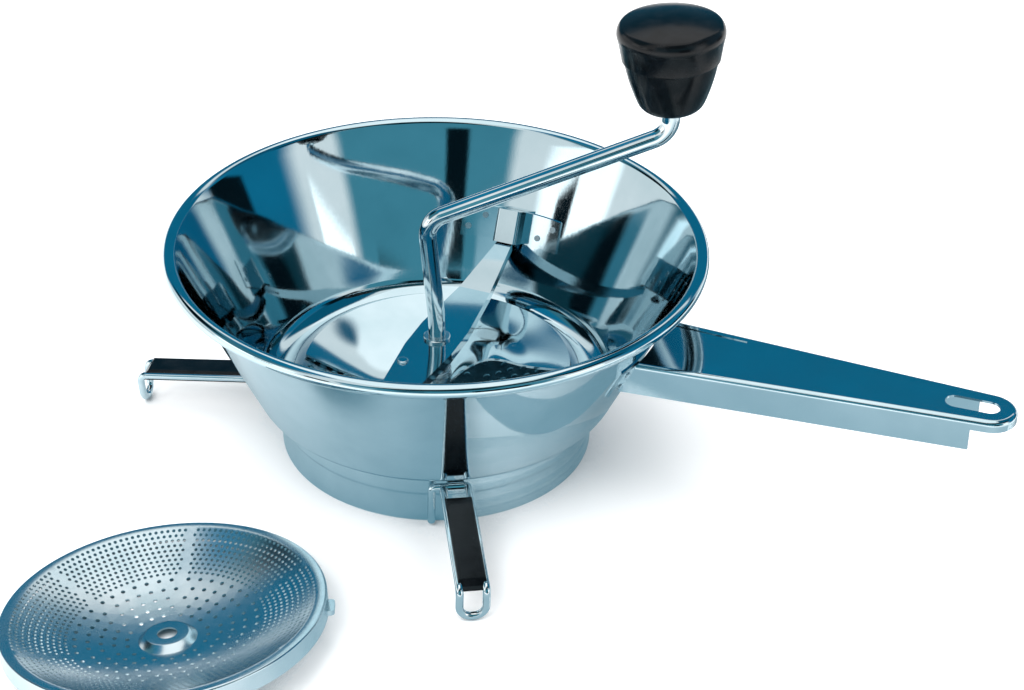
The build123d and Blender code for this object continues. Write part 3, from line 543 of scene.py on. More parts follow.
@dataclass
class Bowl:
    """The conical bowl with its ledge and rolled rim, and the outlet ring under it."""

    finishes: Finishes
    rim_radius: float = 118.0 * MM
    rim_height: float = 100.0 * MM
    bead_radius: float = 3.1 * MM
    bead_sweep: float = math.radians(275.0)
    ledge_radius: float = 60.5 * MM
    ledge_height: float = 25.8 * MM
    corner_radius: float = 80.0 * MM
    corner_bend: float = 12.0 * MM
    sheet: float = 0.8 * MM
    ring_radius: float = 72.0 * MM
    ring_step: float = 0.9 * MM
    ring_step_height: float = 14.0 * MM
    ring_flange: float = 7.0 * MM

    def wall_angle(self) -> float:
        """The wall's slope, from the corner to where it meets the bead."""
        across, up = self.rim_radius - self.corner_radius, self.rim_height - self.ledge_height
        return math.atan2(up, across) + math.asin(self.bead_radius / math.hypot(across, up))

    def wall_line(self) -> np.ndarray:
        """The inner face's line: ledge, bend, cone and the bead's arc round its centre."""
        slope = self.wall_angle()
        out = np.array([math.sin(slope), -math.cos(slope)])
        centre = np.array([self.rim_radius, self.rim_height])
        top = centre - self.bead_radius * out
        low = [(self.ledge_radius, self.ledge_height), (self.corner_radius, self.ledge_height), tuple(top)]
        wall = resampled(rounded_path(low, [self.corner_bend], 96), 4 * MM)
        sweep = np.linspace(0.0, self.bead_sweep, 34)[1:, None]
        along = np.array([math.cos(slope), math.sin(slope)])
        bead = centre + self.bead_radius * (np.cos(sweep) * -out + np.sin(sweep) * along)
        return np.concatenate([wall, bead])

    def build(self) -> None:
        """Makes the bowl and the ring."""
        wall = lathe("bowl_shell", sheet_section(self.wall_line(), self.sheet), 320)
        install(wall, Body.BOWL.value, Slot.POLISHED, self.finishes.bowl, "bowl")
        upper, top = self.ring_radius + self.ring_step, self.ledge_height - self.sheet
        step = self.ring_step_height
        corners = [(self.ring_radius, 0.0), (self.ring_radius, step), (upper, step + 2 * self.ring_step),
                   (upper, top), (upper - self.ring_flange, top)]
        line = resampled(rounded_path(corners, [0.9 * MM] * 3), 3 * MM)
        ring = lathe("outlet_ring_shell", sheet_section(line, -self.sheet), 256)
        install(ring, Body.BOWL.value, Slot.POLISHED, self.finishes.ring, "outlet_ring", "outlet_flange")


# ------------------------------------------------------------------ strainer discs


@dataclass
class HoleBand:
    """Rings of round holes between two radii, leaving plain radial strips."""

    inner: float
    outer: float
    pitch: float
    hole: float
    strip: float
    strips: int = 6

    def centres(self) -> np.ndarray:
        """Hole centres: on each ring, equal steps between strips, every other ring half a step on."""
        rings = np.linspace(self.inner, self.outer, int((self.outer - self.inner) / (self.pitch * 0.88)) + 1)
        sector = 2 * math.pi / self.strips
        rows = []
        for index, radius in enumerate(rings):
            edge = (self.strip / 2 + self.hole / 2) / radius
            free = sector - 2 * edge
            count = max(int(free * radius / self.pitch), 1)
            shift = 0.25 if index % 2 else 0.75
            angle = edge + free * (np.arange(count) + shift) / count
            angle = (angle[None, :] + sector * np.arange(self.strips)[:, None]).ravel()
            rows.append(radius * np.stack([np.cos(angle), np.sin(angle)], axis=1))
        return np.concatenate(rows)

    def outlines(self, corners: int) -> np.ndarray:
        """The holes' outlines: an array of holes, corners and two coordinates."""
        angle = np.linspace(0.0, 2 * math.pi, corners, endpoint=False)
        circle = self.hole / 2 * np.stack([np.cos(angle), np.sin(angle)], axis=1)
        return self.centres()[:, None, :] + circle[None, :, :]


@dataclass
class StrainerDisc:
    """A dished disc with a turned-down flange, a raised hub and its full number of holes."""

    name: str
    bands: list[HoleBand]
    radius: float = 66.4 * MM
    flange: float = 8.0 * MM
    bend: float = 0.9 * MM
    sheet: float = 0.8 * MM
    dish_depth: float = 15.5 * MM
    dish_radius: float = 62.5 * MM
    hub_radius: float = 12.0 * MM
    hub_top: float = 8.5 * MM
    hub_rise: float = 2.4 * MM
    bore: float = 4.15 * MM
    segments: int = 240
    corners: int = 12

    def sphere(self) -> tuple[float, float]:
        """Height of the dish's centre above the rim, and the radius of its upper face."""
        height = (self.dish_radius ** 2 - self.hub_radius ** 2 - self.dish_depth ** 2) / (2 * self.dish_depth)
        return height, math.hypot(self.dish_radius, height)

    def circle(self, radius: float) -> np.ndarray:
        """Points round a circle."""
        angle = np.linspace(0.0, 2 * math.pi, self.segments, endpoint=False)
        return radius * np.stack([np.cos(angle), np.sin(angle)], axis=1)

    def web(self) -> tuple[np.ndarray, np.ndarray, list[np.ndarray]]:
        """The flat plan of the pierced dish, as triangles.

        A constrained triangulation of both rims and all the holes; a triangle whose corners all lie
        on one hole, or all on the hub's circle, is the inside of that hole and is left out.

        Returns:
            Plan points, triangles, and the closed loops of the holes as vertex numbers.
        """
        middle = [self.circle(r) for r in np.linspace(self.hub_radius, self.dish_radius, 3)]
        corners = self.corners
        holes = np.concatenate([band.outlines(corners) for band in self.bands])
        rims = np.concatenate([middle[0], middle[-1]])
        points = np.concatenate([rims, holes.reshape(-1, 2)])
        n = self.segments
        loops = [np.arange(n), np.arange(n) + n]
        loops += [2 * n + corners * k + np.arange(corners) for k in range(len(holes))]
        edges = np.concatenate([np.stack([loop, np.roll(loop, -1)], axis=1) for loop in loops])
        vertices = [Vector(p) for p in (points / MM).tolist()]
        made = delaunay_2d_cdt(vertices, edges.tolist(), [], 0, 1e-6)
        flat = np.array([tuple(v) for v in made[0]]) * MM
        faces = np.array([f for f in made[2] if len(f) == 3])
        owner = np.full(len(flat), -1)
        source = np.array([ids[0] if ids else -1 for ids in made[3]])
        owner[source >= 2 * n] = (source[source >= 2 * n] - 2 * n) // corners + 1
        owner[(source >= 0) & (source < n)] = 0
        ends = owner[faces]
        inside = (ends[:, 0] >= 0) & (ends[:, 0] == ends[:, 1]) & (ends[:, 1] == ends[:, 2])
        back = np.full(len(points), -1)
        back[source[source >= 0]] = np.nonzero(source >= 0)[0]
        return flat, faces[~inside], [back[loop] for loop in loops]

    def raised(self, flat: np.ndarray, lower: bool) -> np.ndarray:
        """Plan points put on the dish: height = centre - sqrt(R^2 - r^2), on the upper or lower face."""
        height, big = self.sphere()
        fall = height - np.sqrt(big ** 2 - np.sum(flat ** 2, axis=1, keepdims=True))
        radial = np.concatenate([flat, fall], axis=1)
        if not lower:
            return radial
        centre = np.array([0.0, 0.0, height])
        return centre + (radial - centre) * (big + self.sheet) / big

    def rim_rows(self) -> tuple[np.ndarray, np.ndarray]:
        """The flange and rim outside the dish, upper face then lower face, from the dish outwards."""
        corners = [(self.dish_radius, 0.0), (self.radius, 0.0), (self.radius, -self.flange)]
        outer = rounded_path(corners, [self.bend])
        return outer[1:], offset_line(outer, self.sheet)[1:]

    def make(self) -> Piece:
        """Builds the disc with its rim's top at height 0.

        Returns:
            The disc as one closed mesh.
        """
        flat, triangles, loops = self.web()
        count = len(flat)
        top, bottom = self.raised(flat, False), self.raised(flat, True)
        vertices = [top, bottom]
        faces = triangles[:, ::-1].tolist() + (triangles + count).tolist()
        for loop in loops[2:]:
            after = np.roll(loop, -1)
            faces += np.stack([loop, after, after + count, loop + count], axis=1).tolist()
        total = 2 * count
        n = self.segments
        angle = np.linspace(0.0, 2 * math.pi, n, endpoint=False)
        outer_top, outer_low = self.rim_rows()
        top_z = self.hub_rise - self.dish_depth
        hub_line = np.array([(self.hub_radius, -self.dish_depth), (self.hub_top + 0.6 * MM, top_z - 0.1 * MM),
                             (self.hub_top, top_z), (self.bore, top_z)])
        hub_low = hub_line - np.array([0.0, self.sheet])
        chains = [(loops[1], outer_top, outer_low), (loops[0], hub_line[1:], hub_low[1:])]
        for loop, upper, lower in chains:
            rows = [loop]
            profile = np.concatenate([upper, lower[::-1]])
            for r, z in profile:
                vertices.append(np.stack([r * np.cos(angle), r * np.sin(angle), np.full(n, z)], axis=1))
                rows.append(np.arange(n) + total)
                total += n
            rows.append(loop + count)
            for a, b in zip(rows, rows[1:]):
                faces += np.stack([a, b, np.roll(b, -1), np.roll(a, -1)], axis=1).tolist()
        return new_mesh(self.name, np.concatenate(vertices), faces)


@dataclass
class FittedDisc:
    """The disc in use, held on the bowl's ledge by the paddle."""

    finishes: Finishes
    rim_height: float = 33.8 * MM

    def build(self) -> None:
        """Makes the coarse disc."""
        band = HoleBand(16.0 * MM, 58.5 * MM, 5.6 * MM, 3.0 * MM, 2.4 * MM)
        disc = StrainerDisc("coarse_disc_pierced", [band], corners=16).make()
        placed(disc, Matrix.Translation((0, 0, self.rim_height)))
        install(disc, Body.BOWL.value, Slot.POLISHED, self.finishes.disc, "coarse_disc")


@dataclass
class SpareDisc:
    """The fine disc that lies on the table beside the mill."""

    finishes: Finishes
    x: float = -42.8 * MM
    y: float = -182.1 * MM
    high_side: float = math.radians(-36.0)
    turn: float = math.radians(49.0)
    lug_angles: tuple[float, ...] = (-26.0, 91.5, 209.0)
    lug_width: float = 9.0 * MM
    lug_reach: float = 2.6 * MM
    lug_height: float = 2.2 * MM
    lug_raise: float = 0.7 * MM
    air: float = 0.05 * MM

    def place(self, disc: StrainerDisc) -> Matrix:
        """The tilted place: on the hub's low ring and one side of the flange."""
        drop = disc.dish_depth + disc.sheet
        tilt = math.atan2(drop - disc.flange, disc.radius - disc.hub_radius)
        lift = drop * math.cos(tilt) + disc.hub_radius * math.sin(tilt) + self.air
        return (Matrix.Translation((self.x, self.y, lift)) @ Matrix.Rotation(self.high_side, 4, "Z")
                @ Matrix.Rotation(-tilt, 4, "Y") @ Matrix.Rotation(self.turn - self.high_side, 4, "Z"))

    def lug(self, disc: StrainerDisc, angle: float) -> np.ndarray:
        """One lug: a plan with rounded outer corners, at two heights, turned to its angle."""
        half, start, end = self.lug_width / 2, disc.radius - disc.sheet / 2, disc.radius + self.lug_reach
        plan = rounded_path([(start, -half), (end, -half), (end, half), (start, half)], [1.6 * MM, 1.6 * MM])
        low = self.lug_raise - disc.flange
        heights = (low, low + self.lug_height)
        rows = [np.concatenate([plan, np.full((len(plan), 1), z)], axis=1) for z in heights]
        a = math.radians(angle)
        turn = np.array([[math.cos(a), math.sin(a), 0], [-math.sin(a), math.cos(a), 0], [0, 0, 1]])
        return np.stack(rows) @ turn

    def build(self) -> None:
        """Makes the fine disc and its lugs as one piece."""
        bands = [HoleBand(16.5 * MM, 37.0 * MM, 4.9 * MM, 1.9 * MM, 0.0),
                 HoleBand(40.5 * MM, 61.0 * MM, 2.5 * MM, 1.45 * MM, 1.6 * MM)]
        disc = StrainerDisc("fine_disc_pierced", bands, corners=10)
        piece = disc.make()
        shell = bmesh.new()
        shell.from_mesh(piece.data)
        for angle in self.lug_angles:
            rows = self.lug(disc, angle)
            low, high = ([shell.verts.new(p) for p in row] for row in rows)
            shell.faces.new(low[::-1])
            shell.faces.new(high)
            for i in range(len(low)):
                j = (i + 1) % len(low)
                shell.faces.new([low[i], low[j], high[j], high[i]])
        shell.to_mesh(piece.data)
        shell.free()
        piece.data.set_sharp_from_angle(angle=SMOOTH_ANGLE)
        placed(piece, self.place(disc))
        install(piece, Body.SPARE.value, Slot.POLISHED, self.finishes.disc, "fine_disc")


# ------------------------------------------------------------------ crank, paddle, knob


@dataclass
class Crank:
    """The bent rod with its paddle, spring and knob."""

    finishes: Finishes
    angle: float = math.radians(23.0)
    rod: float = 4.0 * MM
    foot: float = 15.2 * MM
    straight: float = 60.0 * MM
    lean: float = -5.0 * MM
    bends: tuple[float, ...] = (60.0 * MM, 11.0 * MM, 11.0 * MM)
    arm_start: tuple[float, float] = (14.0 * MM, 119.0 * MM)
    arm_end: tuple[float, float] = (91.0 * MM, 151.0 * MM)
    knob_foot: tuple[float, float] = (100.5 * MM, 167.2 * MM)
    knob_tilt: float = math.radians(3.5)
    spindle_radius: float = 3.2 * MM
    spindle_length: float = 30.0 * MM

    def out(self) -> np.ndarray:
        """The crank's own direction from the bowl's axis."""
        return np.array([math.cos(self.angle), math.sin(self.angle), 0.0])

    def in_plane(self, points: np.ndarray) -> np.ndarray:
        """Points (distance out, height) put in the crank's upright plane."""
        return points[:, :1] * self.out() + points[:, 1:] * UPRIGHT

    def knob_place(self) -> Matrix:
        """The knob's frame: its foot on the crank, Z along the spindle."""
        lean, out, up = self.knob_tilt, self.out(), UPRIGHT
        z = -out * math.sin(lean) + up * math.cos(lean)
        x = out * math.cos(lean) + up * math.sin(lean)
        foot = self.in_plane(np.array([self.knob_foot]))[0]
        place = Matrix([[*row, 0.0] for row in np.stack([x, np.cross(z, x), z], axis=1)] + [[0, 0, 0, 1]])
        place.translation = foot
        return place

    def slope(self) -> float:
        """Rise of the arm for each step out."""
        return (self.arm_end[1] - self.arm_start[1]) / (self.arm_end[0] - self.arm_start[0])

    def arm_height(self, out: float) -> float:
        """Height of the sloping arm's centre line at a distance from the bowl's axis."""
        return self.arm_start[1] + self.slope() * (out - self.arm_start[0])

    def knee(self) -> tuple[float, float]:
        """Where the arm's line meets the knob's axis.

        Along the axis the height falls by cos t for each step and the arm's line falls behind by
        slope * sin t, so the step down is the gap at the foot over (cos t + slope sin t).
        """
        lean, (out, height) = self.knob_tilt, self.knob_foot
        drop = (height - self.arm_height(out)) / (math.cos(lean) + self.slope() * math.sin(lean))
        return out + drop * math.sin(lean), height - drop * math.cos(lean)

    def build_rod(self) -> None:
        """The rod: shaft, sloping arm and turned-up end, then the thinner spindle."""
        corners = [(0.0, self.foot), (0.0, self.straight), (self.lean, self.arm_height(self.lean)),
                   self.knee(), self.knob_foot]
        line = resampled(rounded_path(corners, list(self.bends), 120), 3 * MM)
        path, radii = domed(self.in_plane(line), self.rod, 1.2 * MM, 0.5 * MM)
        rod = tube("crank_rod_bent", path, radii, 40)
        spindle = np.array([(0, 0, 0), (0, 0, self.spindle_length / 2), (0, 0, self.spindle_length)], float)
        path, radii = domed(spindle, self.spindle_radius, 0.1 * MM, 0.8 * MM)
        pin = placed(tube("crank_spindle", path, radii, 32), self.knob_place())
        install(rod, Body.CRANK.value, Slot.ROD, self.finishes.rod, "crank_rod")
        install(pin, Body.CRANK.value, Slot.ROD, self.finishes.rod)

    def build(self) -> None:
        """Makes the rod and dresses the small turned parts on it."""
        self.build_rod()
        for name in ("paddle_hub", "knob_bush"):
            finish_node(name, self.finishes.turned)
        for name in ("spring_washer_low", "knob_clip"):
            finish_node(name, self.finishes.turned)
        finish_node("paddle_pin", self.finishes.rod)


@dataclass
class Knob:
    """The turning knob: a tapered skirt under a round cap with a lip."""

    finishes: Finishes
    crank: Crank
    radius: float = 23.1 * MM
    lip: float = 21.2 * MM
    lip_edge: tuple[float, float] = (0.6 * MM, 0.9 * MM)
    skirt: float = 20.3 * MM
    foot: float = 8.0 * MM
    foot_bend: tuple[float, float] = (12.3 * MM, 1.2 * MM)
    foot_top: tuple[float, float] = (14.8 * MM, 4.4 * MM)
    skirt_bend: tuple[float, float] = (17.7 * MM, 12.5 * MM)
    height: float = 41.2 * MM
    cap: float = 17.8 * MM
    dome: float = 1.6 * MM
    wide_drop: float = 4.6 * MM
    flare: tuple[float, float] = (0.35 * MM, 3.4 * MM)
    shoulder: tuple[float, float] = (1.6 * MM, 2.9 * MM)
    bush: float = 5.6 * MM
    wall: float = 2.6 * MM

    def skirt_section(self) -> np.ndarray:
        """The skirt's closed section: a rounded foot and a side that swells to the cap."""
        split = self.height - self.cap
        foot = arc_through((self.foot, 0.0), self.foot_bend, self.foot_top, 14)
        side = arc_through(self.foot_top, self.skirt_bend, (self.skirt, split), 22)
        return np.concatenate([[(self.bush, 0.0)], foot, side[1:], [(self.bush, split)]])

    def cap_section(self) -> np.ndarray:
        """The cap's closed section: small lip, flared side, round shoulder and a low dome."""
        split, wide = self.height - self.cap, self.height - self.wide_drop
        inner, (across, up) = self.skirt - self.wall, self.lip_edge
        bend = (self.lip - across / 6, split + up / 3)
        lip = arc_through((self.lip - across, split), bend, (self.lip, split + up), 6)
        flare = (self.radius - self.flare[0], wide - self.flare[1])
        shoulder = (self.radius - self.shoulder[0], wide + self.shoulder[1])
        turn = arc_through(flare, (self.radius, wide), shoulder, 16)
        fall = self.height + self.dome - shoulder[1]
        big = (shoulder[0] ** 2 + fall ** 2) / (2 * fall)
        out = np.linspace(shoulder[0], 0.0, 24)[1:, None]
        dome = np.concatenate([out, self.height + self.dome - big + np.sqrt(big ** 2 - out ** 2)], axis=1)
        inside = [(0.0, self.height - self.wall), (inner, self.height - self.wall)]
        return np.concatenate([[(inner, split)], lip, turn, dome, inside])

    def build(self) -> None:
        """Makes the two mouldings."""
        place = self.crank.knob_place()
        skirt = placed(lathe("knob_skirt", self.skirt_section(), 160), place)
        cap = placed(lathe("knob_cap_round", self.cap_section(), 160), place)
        install(skirt, Body.KNOB.value, Slot.PLASTIC, self.finishes.knob, "knob_body")
        install(cap, Body.KNOB.value, Slot.PLASTIC, self.finishes.knob, "knob_cap")


@dataclass
class Paddle:
    """The half-round blade, smooth from its raised leading edge down to the disc."""

    finishes: Finishes
    crank: Crank
    disc_rim: float = 33.8 * MM
    hub: float = 6.4 * MM
    hub_low: float = 22.4 * MM
    hub_top: float = 30.0 * MM
    radius: float = 61.5 * MM
    sheet: float = 1.2 * MM
    lead: float = math.radians(-8.0)
    sweep: float = math.radians(180.0)
    inner_radius: float = 14.0 * MM
    crest_radius: float = 24.0 * MM
    crest: float = 39.5 * MM
    lead_height: float = 36.6 * MM
    rest: float = 1.0 * MM
    rows: int = 120
    columns: int = 48

    def stations(self) -> np.ndarray:
        """Radii of the five stations that shape a section."""
        middle = (self.crest_radius + self.radius) / 2
        return np.array([self.hub, self.inner_radius, self.crest_radius, middle, self.radius])

    def lower_face(self) -> np.ndarray:
        """The blade's lower face as a grid of angle and radius.

        Height is the leading section's times w plus the trailing section's times 1 - w, with w the
        half cosine of the share of the sweep; both sections are smooth lines through five stations.
        """
        disc = StrainerDisc("plan", [])
        height, big = disc.sphere()
        r = self.stations()
        dish = self.disc_rim + height - np.sqrt(big ** 2 - r ** 2)
        lead = np.array([self.hub_top - 4 * MM, self.hub_top + 4 * MM, self.crest,
                         (self.crest + self.lead_height) / 2 - 0.8 * MM, self.lead_height])
        trail = dish + self.rest
        trail[0] = self.hub_low + 1 * MM
        trail[1] = max(self.hub_low + 0.4 * MM, trail[1])
        along = np.linspace(0.0, 1.0, self.columns)
        fine = self.hub + (self.radius - self.hub) * along
        lead_z, trail_z = smooth_through(r, lead, fine), smooth_through(r, trail, fine)
        share = np.linspace(0.0, 1.0, self.rows)[:, None]
        w = 0.5 + 0.5 * np.cos(math.pi * share)
        angle = self.crank.angle + self.lead + self.sweep * share
        z = w * lead_z + (1 - w) * trail_z
        return np.stack([fine * np.cos(angle), fine * np.sin(angle), z], axis=2)

    def build(self) -> None:
        """Makes the blade."""
        lower = self.lower_face()
        upper = lower + np.array([0.0, 0.0, self.sheet])
        blade = slab("paddle_blade", upper, lower)
        install(blade, Body.CRANK.value, Slot.POLISHED, self.finishes.paddle, "paddle")


def smooth_through(x: np.ndarray, y: np.ndarray, at: np.ndarray) -> np.ndarray:
    """A smooth line through points: cubic pieces whose slopes are the mean of the runs beside them."""
    runs = np.diff(y) / np.diff(x)
    slopes = np.concatenate([runs[:1], (runs[:-1] + runs[1:]) / 2, runs[-1:]])
    i = np.clip(np.searchsorted(x, at, side="right") - 1, 0, len(x) - 2)
    h = x[i + 1] - x[i]
    t = (at - x[i]) / h
    return ((1 + 2 * t) * (1 - t) ** 2 * y[i] + t * (1 - t) ** 2 * h * slopes[i]
            + t ** 2 * (3 - 2 * t) * y[i + 1] + t ** 2 * (t - 1) * h * slopes[i + 1])


@dataclass
class Spring:
    """The compression spring round the shaft, between its two washers."""

    finishes: Finishes
    wire: float = 1.2 * MM
    radius: float = 6.1 * MM
    low: float = 31.0 * MM
    top: float = 43.0 * MM
    turns: float = 4.0
    closing: float = 0.35
    travel: float = 4.0 * MM

    def build(self) -> None:
        """Makes the coil: a helix whose first and last turns lie close, its height eased at both ends."""
        share = np.linspace(0.0, 1.0, 400)
        angle = 2 * math.pi * self.turns * share
        eased = share - self.closing * np.sin(2 * math.pi * share) / (2 * math.pi)
        z = self.low + self.wire / 2 + (self.top - self.low - self.wire) * eased
        path = np.stack([self.radius * np.cos(angle), self.radius * np.sin(angle), z], axis=1)
        coil = tube("spring_coil", path, self.wire / 2, 12)
        install(coil, Body.CRANK.value, Slot.SPRING, self.finishes.spring, "spring")
        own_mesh(coil)


# ------------------------------------------------------------------ hooks, handle, bridge


@dataclass
class Hooks:
    """The three fold-out hooks: bent wire, black cover and the clip on the ring."""

    finishes: Finishes
    angles: tuple[float, ...] = (-60.9, 66.0, 193.0)
    pivot_radius: float = 76.5 * MM
    pivot_height: float = 22.0 * MM
    droop: float = math.radians(4.7)
    reach: float = 65.0 * MM
    drop: float = 14.4 * MM
    half: float = 5.6 * MM
    wire: float = 1.7 * MM
    wire_end: float = 1.2 * MM
    tail_side: float = 10.4 * MM
    tail: float = 20.0 * MM
    bends: tuple[float, ...] = (1.9 * MM, 1.9 * MM, 3.4 * MM, 5.4 * MM, 5.4 * MM, 3.4 * MM)

    def place(self, angle: float) -> Matrix:
        """A hook's frame: its pivot, X outwards along the drooping arm."""
        pivot = Matrix.Translation((self.pivot_radius, 0, self.pivot_height))
        return Matrix.Rotation(math.radians(angle), 4, "Z") @ pivot @ Matrix.Rotation(self.droop, 4, "Y")

    def route(self) -> np.ndarray:
        """The wire's centre line: tail, pin, arm, turned-down loop and the other arm back to the pin."""
        h, d, r, side = self.half, -self.drop, self.reach, -self.tail_side
        corners = [(0, side, -self.tail), (0, side, 0), (0, h, 0), (r, h, 0), (r, h, d), (r, -h, d),
                   (r, -h, 0), (self.wire_end, -h, 0)]
        return resampled(rounded_path(corners, list(self.bends), 64), 3 * MM)

    def build(self) -> None:
        """Makes each wire, and dresses covers and clips."""
        for index, angle in enumerate(self.angles, 1):
            path, radii = domed(self.route(), self.wire, 0.8 * MM, 0.5 * MM)
            wire = placed(tube(f"hook_wire_bent_{index}", path, radii, 24), self.place(angle))
            install(wire, f"hook_{index}", Slot.ROD, self.finishes.rod, f"hook_wire_{index}")
            finish_node(f"hook_cover_{index}", self.finishes.cover)
            finish_node(f"hook_clip_{index}", self.finishes.rod)


@dataclass
class HandleAndBridge:
    """The pressed handle, the sprung bridge and its catches, which keep their solids."""

    finishes: Finishes

    def build(self) -> None:
        """Dresses every sheet part and its rivets and welds."""
        finish_node("handle", self.finishes.sheet)
        for name in ("bridge", "bridge_rivet"):
            finish_node(name, self.finishes.sheet)
        for name in ("bridge_catch_far", "bridge_catch_near"):
            finish_node(name, self.finishes.sheet)
        for name in ("handle_welds", "catch_welds"):
            finish_node(name, self.finishes.weld)
        for name in ("bridge_bush", "bush_nut"):
            finish_node(name, self.finishes.turned)
        finish_node("spring_washer_top", self.finishes.turned)


# ------------------------------------------------------------------ studio


@dataclass(frozen=True)
class Card:
    """A soft-edged reflector card that only reflections see.

    Azimuth is measured in the mill's frame from +X towards +Y, elevation above the table.
    """

    name: str
    azimuth: float
    elevation: float
    width: float
    height: float
    colour: tuple[float, float, float]
    strength: float = 1.0
    distance: float = 2.2
    edge: float = 0.4
    density: float = 1.0
    on_table: tuple[float, float] | None = None

    def material(self) -> Material:
        """A glow that fades to nothing at the card's edges."""
        material = bpy.data.materials.new(self.name)
        material.use_nodes = True
        tree = material.node_tree
        tree.nodes.clear()
        output = tree.nodes.new("ShaderNodeOutputMaterial")
        glow = tree.nodes.new("ShaderNodeEmission")
        glow.inputs["Color"].default_value = (*self.colour, 1.0)
        glow.inputs["Strength"].default_value = self.strength
        clear = tree.nodes.new("ShaderNodeBsdfTransparent")
        mix = tree.nodes.new("ShaderNodeMixShader")
        uv = tree.nodes.new("ShaderNodeSeparateXYZ")
        tree.links.new(tree.nodes.new("ShaderNodeUVMap").outputs["UV"], uv.inputs[0])
        factors = []
        for axis in ("X", "Y"):
            span = tree.nodes.new("ShaderNodeMath")
            span.operation = "PINGPONG"
            span.inputs[1].default_value = 0.5
            tree.links.new(uv.outputs[axis], span.inputs[0])
            fade = tree.nodes.new("ShaderNodeMapRange")
            fade.interpolation_type = "SMOOTHSTEP"
            fade.inputs["From Max"].default_value = self.edge / 2
            fade.inputs["To Max"].default_value = math.sqrt(self.density)
            tree.links.new(span.outputs[0], fade.inputs["Value"])
            factors.append(fade.outputs["Result"])
        both = tree.nodes.new("ShaderNodeMath")
        both.operation = "MULTIPLY"
        tree.links.new(factors[0], both.inputs[0])
        tree.links.new(factors[1], both.inputs[1])
        tree.links.new(both.outputs[0], mix.inputs["Fac"])
        tree.links.new(clear.outputs[0], mix.inputs[1])
        tree.links.new(glow.outputs[0], mix.inputs[2])
        tree.links.new(mix.outputs[0], output.inputs["Surface"])
        return material

    def corners(self) -> list[np.ndarray]:
        """The card's corners: hung at its distance and facing the mill, or laid just over the table.

        A laid card is centred at its two numbers in metres, to the azimuth's side and beyond.
        """
        a, e = math.radians(self.azimuth), math.radians(self.elevation)
        if self.on_table:
            side, up = np.array([math.cos(a), math.sin(a), 0.0]), np.array([-math.sin(a), math.cos(a), 0.0])
            centre = side * self.on_table[0] + up * self.on_table[1] + np.array([0.0, 0.0, TABLE_CARD_LIFT])
        else:
            back = np.array([math.cos(a) * math.cos(e), math.sin(a) * math.cos(e), math.sin(e)])
            side = np.array([-math.sin(a), math.cos(a), 0.0])
            up, centre = np.cross(back, side), back * self.distance
        u, v = side * self.width / 2, up * self.height / 2
        return [centre - u - v, centre + u - v, centre + u + v, centre - u + v]

    def build(self) -> None:
        """Hangs or lays the card."""
        mesh = bpy.data.meshes.new(self.name)
        mesh.from_pydata([tuple(p) for p in self.corners()], [], ONE_QUAD)
        layer = mesh.uv_layers.new(name="card")
        layer.data.foreach_set("uv", [0.0, 0.0, 1.0, 0.0, 1.0, 1.0, 0.0, 1.0])
        card = bpy.data.objects.new(self.name, mesh)
        bpy.context.scene.collection.objects.link(card)
        card.visible_camera = False
        card.visible_diffuse = False
        card.visible_shadow = False
        dress(card, self.material())


def seen_directly(tree: bpy.types.NodeTree) -> Socket:
    """1 for what the camera, a reflection or clear glass shows, and 0 for light that falls on matt things."""
    rays = tree.nodes.new("ShaderNodeLightPath")
    value = rays.outputs["Is Camera Ray"]
    for other in ("Is Glossy Ray", "Is Transmission Ray"):
        either = tree.nodes.new("ShaderNodeMath")
        either.operation = "MAXIMUM"
        tree.links.new(value, either.inputs[0])
        tree.links.new(rays.outputs[other], either.inputs[1])
        value = either.outputs[0]
    return value


